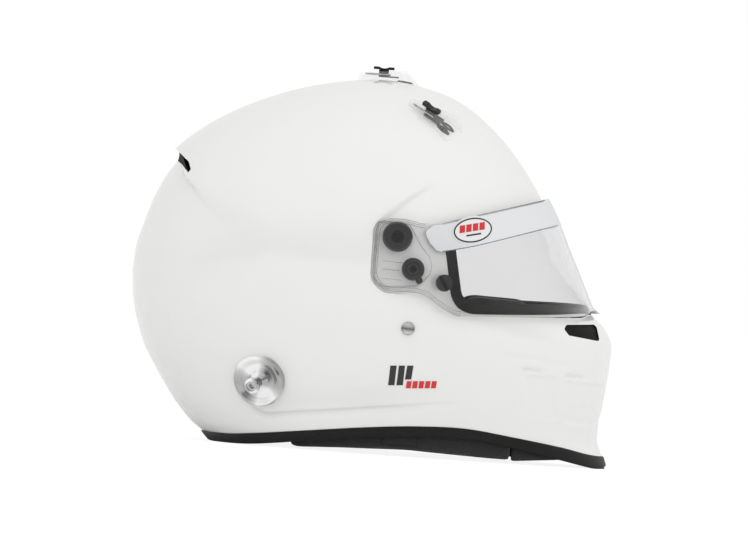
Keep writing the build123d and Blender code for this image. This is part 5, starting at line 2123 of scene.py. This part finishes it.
@dataclass
class Padding(SubAssembly):
    """Cheek cushions, neck cushion, crown lining, chin skirt and chin straps, in metres."""

    voxel: float = 0.003
    skirt_voxel: float = 0.0009
    strap_voxel: float = 0.0008

    def soften(self, node: str, name: str, voxel: float, rounds: int) -> Piece:
        """A copy of a CAD solid with its corners softened.

        Args:
            node: The CAD node.
            name: The new piece's name.
            voxel: How fine it is remeshed, in metres.
            rounds: How often its corners are smoothed.

        Returns:
            The new piece.
        """
        piece = bpy.data.objects.new(name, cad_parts[node].data.copy())
        bpy.context.scene.collection.objects.link(piece)
        remesh = piece.modifiers.new("remesh", "REMESH")
        remesh.mode, remesh.voxel_size = "VOXEL", voxel
        settle(piece)
        smooth = piece.modifiers.new("smooth", "SMOOTH")
        smooth.factor, smooth.iterations = 0.5, rounds
        settle(piece)
        shade(piece, 60)
        return piece

    def stretch(self, piece: Piece, start: float, end: float, move: float, axis: int = 0,
                along: int | None = None) -> None:
        """Draw one end of a piece out along an axis.

        Args:
            piece: The piece.
            start: Where the drawn part starts, in metres.
            end: The end that moves.
            move: How far the end moves.
            axis: Which axis it moves along.
            along: Which axis the start and end are on, the same one where nothing is said.
        """
        guide = axis if along is None else along
        mesh = piece.data
        places = np.empty(len(mesh.vertices) * 3)
        mesh.vertices.foreach_get("co", places)
        places = places.reshape(-1, 3)
        places[:, axis] += move * np.clip((places[:, guide] - start) / (end - start), 0, 1)
        mesh.vertices.foreach_set("co", places.ravel())
        mesh.update()

    def seam(self, pad: Piece, name: str, height: float, fill: float) -> Piece:
        """A piped seam round a pad, where its face panel meets its border.

        Args:
            pad: The pad.
            name: The seam's name.
            height: How far from the middle plane the seam runs, in metres.
            fill: The seam's radius, in metres.

        Returns:
            The seam.
        """
        mesh = pad.data.copy()
        work = bmesh.new()
        work.from_mesh(mesh)
        found = bmesh.ops.bisect_plane(work, geom=work.verts[:] + work.edges[:] + work.faces[:],
                                       plane_co=(0, height, 0), plane_no=(0, 1, 0))
        edges = [each for each in found["geom_cut"] if isinstance(each, bmesh.types.BMEdge)]
        work_points = [tuple(vertex.co / MM) for vertex in longest_loop(edges)]
        work.free()
        bpy.data.meshes.remove(mesh)
        line = spread(np.array(work_points), 90)
        spots = (np.roll(line, 1, axis=0) + 2 * line + np.roll(line, -1, axis=0)) / 4
        across_pad, radius = np.array((0.0, 1.0, 0.0)), fill / MM
        out = np.cross(headings(spots), across_pad)
        rings = [spots + out * radius * cos(turn) + across_pad * radius * sin(turn) for turn in around(8)]
        return tube(name, rings, 60)

    def build(self) -> None:
        """Make the soft pieces."""
        lining = self.finishes.lining
        pad = self.soften("cheek_pad_right", "cheek_cushion_right", self.voxel, 4)
        self.stretch(pad, start=0.06, end=0.104, move=0.0068)
        piping = self.seam(pad, "cheek_seam_right", height=-0.066, fill=0.0011)
        left = mirrored(pad, "cheek_cushion_left"), mirrored(piping, "cheek_seam_left")
        for side, (cushion, seam) in (("right", (pad, piping)), ("left", left)):
            self.fit(cushion, lining, "helmet", Slot.FABRIC, f"cheek_pad_{side}")
            self.fit(seam, self.finishes.webbing, "helmet", Slot.FABRIC)
        roll = self.soften("neck_roll", "neck_cushion", self.voxel, 5)
        self.stretch(roll, start=0.014, end=0.0, move=0.003, axis=2)
        self.fit(roll, lining, "helmet", Slot.FABRIC, "neck_roll")
        crown = self.soften("comfort_liner", "crown_lining", self.voxel, 3)
        self.fit(crown, lining, "helmet", Slot.FABRIC, "comfort_liner")
        curtain = self.soften("chin_curtain", "chin_skirt", self.skirt_voxel, 2)
        self.stretch(curtain, start=0.118, end=0.108, move=-0.0045)
        self.stretch(curtain, start=0.106, end=0.146, move=0.0034, axis=2, along=0)
        self.fit(curtain, lining, "helmet", Slot.FABRIC, "chin_curtain")
        for side in ("right", "left"):
            strap = self.soften(f"chin_strap_{side}", f"strap_webbing_{side}", self.strap_voxel, 1)
            self.fit(strap, self.finishes.webbing, "helmet", Slot.WEBBING, f"chin_strap_{side}")


def longest_loop(edges: Sequence[bmesh.types.BMEdge]) -> list[bmesh.types.BMVert]:
    """The longest closed run of points that edges make.

    Args:
        edges: The edges.

    Returns:
        Its points in order.
    """
    links: dict[bmesh.types.BMVert, list[bmesh.types.BMVert]] = {}
    for edge in edges:
        for here, there in ((edge.verts[0], edge.verts[1]), (edge.verts[1], edge.verts[0])):
            links.setdefault(here, []).append(there)
    best: list[bmesh.types.BMVert] = []
    left = set(links)
    while left:
        run = [min(left, key=lambda vertex: vertex.index)]
        left.discard(run[0])
        while True:
            ahead = [vertex for vertex in links[run[-1]] if vertex in left]
            if not ahead:
                break
            run.append(ahead[0])
            left.discard(ahead[0])
        best = max(best, run, key=len)
    return best


# Studio


@dataclass
class Studio:
    """The white surroundings, the floor and the camera, in metres."""

    aim: Triple = (-0.0016, 0.0, 0.1245)
    distance: float = 8.85
    lens: float = 600.0
    roll: float = 4.2
    elevation: float = 0.3
    light: float = 0.885
    lean: Triple = (0.12, -0.32, 0.12)
    flag: Triple = (-0.1, 0.0, 0.995)
    whiteness: float = 0.8
    gloss: float = 0.86
    dark: float = 0.78
    band: float = 2.4
    floor_half: float = 4.0
    floor_light: float = 1.1

    def camera(self) -> None:
        """A long lens square to the helmet's right side, rolled as the photograph is."""
        roll, lift = radians(self.roll), radians(self.elevation)
        right = Vector((cos(roll), 0, sin(roll)))
        level = Vector((-sin(roll), 0, cos(roll)))
        back = Vector((0, -1, 0)) * cos(lift) + level * sin(lift)
        up = back.cross(right)
        data = bpy.data.cameras.new("camera")
        data.lens, data.sensor_width, data.clip_end = self.lens, 36.0, 60.0
        camera = bpy.data.objects.new("camera", data)
        bpy.context.scene.collection.objects.link(camera)
        turn = Matrix((right, up, back)).transposed().to_4x4()
        camera.matrix_world = Matrix.Translation(Vector(self.aim) + back * self.distance) @ turn
        bpy.context.scene.camera = camera

    def surroundings(self) -> None:
        """White surroundings, brightest behind the camera, with a dark band that only gloss shows."""
        world = bpy.data.worlds.new("studio")
        bpy.context.scene.world = world
        tree = Tree(world)
        way = tree.out(tree.node("ShaderNodeTexCoord"), "Generated")
        path = tree.node("ShaderNodeLightPath")
        level = tree.dot(way, self.lean) + self.light
        facing = tree.clamp(tree.dot(way, (0, -1, 0)) * 3 - 0.4)
        band = tree.maths("MINIMUM", tree.maths("ABSOLUTE", tree.dot(way, self.flag)) * self.band, 1.0)
        gloss = self.gloss - facing * (self.dark - band * self.dark)
        lit = tree.blend(tree.out(path, "Is Glossy Ray"), tree.grey(level), tree.grey(gloss))
        colour = tree.blend(tree.seen(), lit, grey(1.0))
        shine = tree.out(tree.node("ShaderNodeBackground", {}, {"Color": colour, "Strength": 1.0}))
        tree.node("ShaderNodeOutputWorld", {}, {"Surface": shine})

    def floor(self) -> None:
        """A pale floor that shows the helmet's shadow."""
        far = self.floor_half / MM
        corners = np.array([(-far, -far, 0), (far, -far, 0), (far, far, 0), (-far, far, 0)])
        piece = mesh_object("floor", corners, [(0, 1, 2, 3)])
        tree = Tree(bpy.data.materials.new("pale_floor"))
        matt = tree.node("ShaderNodeBsdfPrincipled", {}, {"Base Color": grey(0.92), "Roughness": 0.9})
        bright = tree.node("ShaderNodeEmission", {}, {"Color": grey(1.0), "Strength": self.floor_light})
        share = tree.seen() * self.whiteness
        both = tree.node("ShaderNodeMixShader", {}, {0: share, 1: tree.out(matt), 2: tree.out(bright)})
        piece.data.materials.append(tree.finish(tree.out(both)))

    def build(self) -> None:
        """Set the studio up."""
        scene = bpy.context.scene
        scene.view_settings.view_transform = "Standard"
        self.camera()
        self.surroundings()
        self.floor()


def main() -> None:
    """Build every sub-assembly in order and report its pieces."""
    logging.basicConfig(level=logging.INFO, format="%(name)s: %(message)s")
    finishes = Finishes()
    Studio().build()
    for kind in (Shell, Rubber, Shield, Films, Hardware, Padding):
        part = kind(finishes)
        part.build()
        LOG.info("%s: %s", kind.__name__, ", ".join(part.made))


if __name__ == "__main__":
    main()
